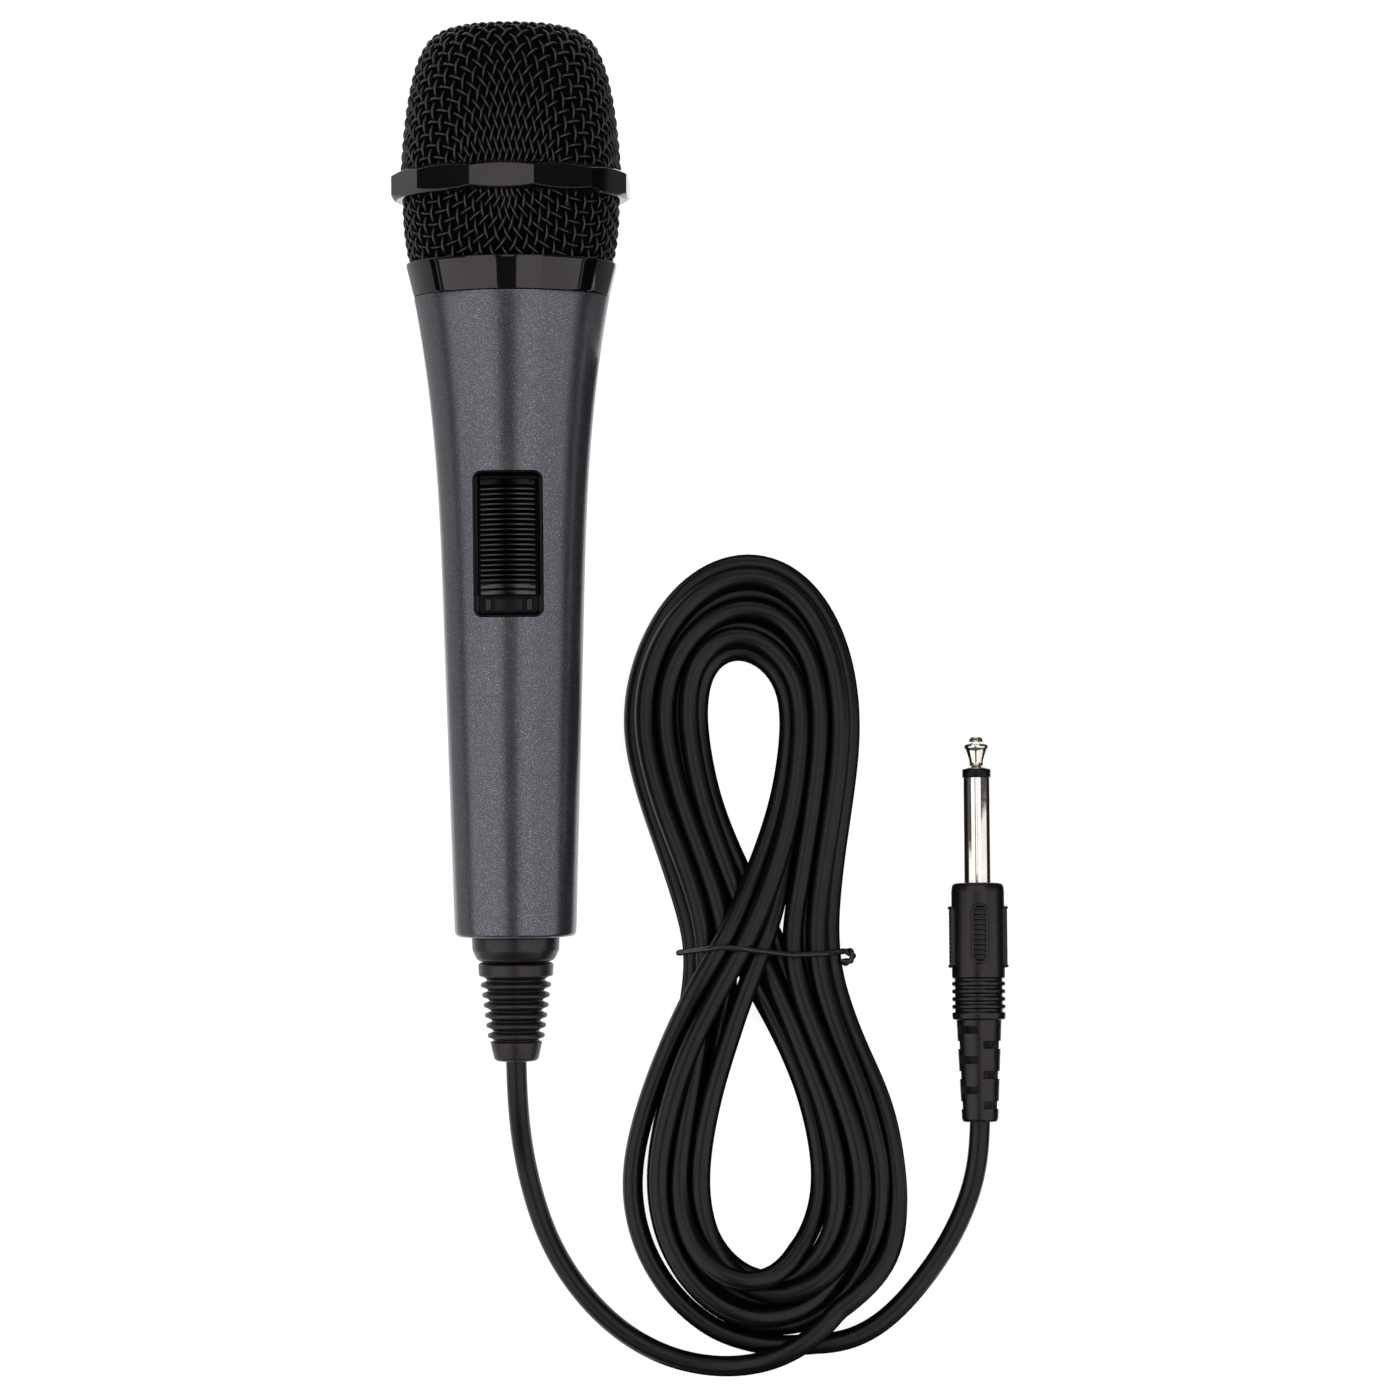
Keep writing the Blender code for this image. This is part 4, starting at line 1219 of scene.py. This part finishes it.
def grilles():
    """The dome and the bowl below the band, each of woven wire, with the band covering where they meet."""
    inset = WIRE_RADIUS + CRIMP
    count = 26
    height = DOME_TOP - DOME_BASE
    dome = Surface(bowl(DOME_BASE, height, DOME_RADIUS, DOME_SQUARENESS, inset, 8.0, DOME_TAPER))
    net = eased_apart(woven_net(dome, 2.72, count), lambda s: 1.0 * np.clip((206 - s) / 28, 0, 1) ** 1.5)
    lines = wires(net, count, lambda s: s > BAND_END - 2.0, CRIMP)
    wire_mesh("dome_mesh", lines, ("upper_grille",))
    count = 24
    neck_bowl = Surface(bowl(171.5, -22.0, 25.3, 9.0, inset, 6.0))
    net = eased_apart(woven_net(neck_bowl, 2.6, count), lambda s: 0.15 + 0.15 * np.clip((s - 157) / 13, 0, 1))
    lines = wires(net, count, lambda s: (s > 155.8) & (s < BAND_START + 0.7), CRIMP)
    wire_mesh("neck_mesh", lines, ("lower_grille",))


def foams():
    """The two windscreen foams just behind the mesh."""
    height = DOME_TOP - DOME_BASE
    gap = 2 * (WIRE_RADIUS + CRIMP) + 0.15
    outer = bowl(DOME_BASE, height, DOME_RADIUS, DOME_SQUARENESS, gap, 1.2, DOME_TAPER)[::6]
    inner = bowl(DOME_BASE, height, DOME_RADIUS, DOME_SQUARENESS, gap + 3.0, 1.2, DOME_TAPER)[::6]
    vertices, faces = lathe_mesh(outer + inner[::-1], 96, False)
    piece("upper_foam", mic(vertices), faces, "foam", "head", ("windscreen_foam_upper",), 60)
    outline = [(157.2, 22.0), (161, 22.9), (165, 23.4), (171.2, 23.7), (171.2, 20.5), (157.2, 19.8)]
    vertices, faces = lathe_mesh(outline, 96)
    piece("lower_foam", mic(vertices), faces, "foam", "head", ("windscreen_foam_lower",), 60)


# ---------------------------------------------------------------- the plug


def plug_pieces():
    made = []
    tip = [
        (0.0, 0.0, 0.0), (0.0, 1.0, 0.3), (0.35, 1.5, 0.3), (1.3, 1.85, 0.3), (2.1, 2.85, 0.25),
        (2.75, 2.95, 0.3), (3.3, 2.5, 0.4), (6.0, 1.62, 0.6), (6.85, 1.72, 0.35), (7.6, 2.7, 0.2),
        (8.2, 3.02, 0.1), (8.2, 1.0, 0.0), (36.0, 1.0, 0.0), (36.0, 0.0, 0.0),
    ]
    made.append(turned("plug_point", tip, "nickel", "handle", ("plug_tip",), 64, plug, False, 25))
    insulator = [
        (7.7, 1.1, 0.0), (7.7, 3.1, 0.1), (7.9, 3.36, 0.14), (9.6, 3.36, 0.14), (9.8, 3.1, 0.1),
        (9.8, 1.1, 0.0),
    ]
    nodes = ("plug_insulator",)
    made.append(turned("plug_ring", insulator, "frame", "handle", nodes, 64, plug))
    sleeve = [(9.75, 1.3, 0.0), (9.75, 3.175, 0.15), (36.0, 3.175, 0.0), (36.0, 1.3, 0.0)]
    made.append(turned("plug_barrel", sleeve, "nickel", "handle", ("plug_sleeve",), 64, plug))
    made += plug_body()
    return made


def plug_body():
    """The moulded body: a round grip with raised pads, five rings, and a slotted boot tapering to the cord."""
    body = GRIP_RADIUS
    outline = [(34.5, 3.2, 0.0), (34.5, 5.9, 0.9), (36.2, body, 0.6), (56.6, body, 0.15)]
    for ring in range(5):
        at = 56.9 + 1.78 * ring
        steps = ((0, -0.62, 0.1), (0.55, -0.62, 0.12), (0.75, 0.02, 0.2), (1.5, 0.02, 0.2))
        outline += [(at + along, body + rise, fillet) for along, rise, fillet in steps]
    outline += [
        (66.3, body - 0.1, 0.2), (66.5, 5.25, 0.15), (89.6, 4.25, 0.3), (90.2, 3.9, 0.2), (90.2, 2.45, 0.0),
        (36.5, 2.45, 0.0), (36.5, 3.2, 0.0),
    ]
    obj = turned("plug_grip", outline, "moulded", "handle", ("plug_moulding",), 96, plug)
    for number in range(6):
        at = 68.8 + 3.5 * number
        near, far = ((-7, -70), (173, 110)) if number % 2 == 0 else ((7, 110), (187, 290))
        for start, end in (near, far):
            angles = np.radians(np.linspace(start, end, 15))
            rows = []
            for along in (-0.92, 0.92):
                rim = [(2.9, a) for a in angles] + [(8.5, a) for a in angles[::-1]]
                rows.append([(r * math.sin(a), at + along, r * math.cos(a)) for r, a in rim])
            vertices, faces = loft(rows, (True, True))
            cutter = helper("slot", plug(vertices), faces)
            # The slots' walls take the shadowed plastic: painted shade inside the slots.
            cutter.data.materials.append(LOOKS["pit"])
            cut(obj, cutter)
    shade(obj.data, 35)
    made = [obj]
    for side, azimuth in (("right", 90), ("left", -90), ("top", 0), ("under", 180)):
        made.append(grip_pad(f"grip_pad_{side}", math.radians(azimuth), body))
    return made


def grip_pad(name, azimuth, body):
    """A ribbed pad on the plug's grip: narrow with round ends above and below, wide at the sides."""
    round_pad = abs(math.sin(azimuth)) < 0.5
    width, length, middle = (4.1, 14.2, 46.4) if round_pad else (5.4, 14.4, 47.1)
    corner = 1.95 if round_pad else 0.9
    lift = 0.55 if round_pad else 0.9
    loops = []
    edge = ((0.0, lift * 0.55), (0.14, lift * 0.9), (0.34, lift), (0.55, lift), (0.68, lift * 0.75))
    for inset, height in ((0.0, -0.6), *edge):
        loop = []
        corner_left = max(corner - inset, 0.2)
        for across, along in rectangle(width - 2 * inset, length - 2 * inset, corner_left, 8, 10):
            angle = azimuth + across / body
            radius = body + height
            loop.append((radius * math.sin(angle), middle + along, radius * math.cos(angle)))
        loops.append(loop)
    vertices, faces = loft(loops, (True, False))
    ribs = 11 if round_pad else 13
    inner = (width - 1.36, length - 1.36)
    first = len(vertices)
    rows = ribs * 6 + 1
    for row in range(rows):
        along = (row / (rows - 1) - 0.5) * inner[1]
        wave = 0.5 - 0.5 * math.cos(math.tau * row / 6)
        reach = inner[0] / 2
        if round_pad:
            beyond = max(0.0, abs(along) - (inner[1] / 2 - reach))
            reach = math.sqrt(max(reach**2 - beyond**2, 0.01))
        for step in range(9):
            across = (step / 4 - 1) * reach
            angle = azimuth + across / body
            height = body + lift * (0.15 + 0.8 * wave * (0.9 if round_pad else 0.6))
            vertices.append((height * math.sin(angle), middle + along, height * math.cos(angle)))
    for row in range(rows - 1):
        for step in range(8):
            a = first + row * 9 + step
            faces.append((a, a + 1, a + 10, a + 9))
    return piece(name, plug(vertices), faces, "moulded", "handle", (), 60)


# ---------------------------------------------------------------- what the CAD already shapes


def carried_over(nodes):
    """Better finishes for the CAD nodes that stay as they are."""
    finishes = {
        "rubber": ("head_gasket", "capsule_shock_mount"),
        "matte": ("cable_clamp", "capsule_cap", "switch_case"),
        "pit": ("grille_clamp_ring",),
        "steel": (
            "gland_nut", "yoke_pot", "pole_plate", "switch_screw_1", "switch_screw_2", "capsule_basket",
        ),
        "brass": (
            "capsule_terminal_1", "capsule_terminal_2", "switch_terminal_1", "switch_terminal_2",
            "plug_tip_lug", "plug_sleeve_lug",
        ),
        "magnet": ("magnet",),
        "film": ("diaphragm",),
        "copper": ("voice_coil",),
        "board": ("terminal_board",),
        "felt": ("acoustic_felt",),
        "moulded": ("switch_lever",),
        "hot_wire": ("capsule_hot_wire", "hot_wire"),
        "cold_wire": ("cold_wire",),
        "jacket": ("cord_inner", "plug_cord_core"),
    }
    for look, names in finishes.items():
        for name in names:
            mesh = nodes[name].data
            mesh.materials.clear()
            mesh.materials.append(LOOKS[look])


def main():
    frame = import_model()
    make_looks()
    camera()
    lead, route, length, tie, ring = cord()
    for number, line in enumerate(twisted_end(ring), 1):
        tube_piece(f"cord_tie_end_{number}", line, 0.55, 10, "tie")
    plugs = plug_pieces()
    handle()
    bezel()
    slider()
    gland()
    boot()
    collar()
    band()
    neck()
    grilles()
    foams()
    carried_over(frame["nodes"])
    studio()


main()
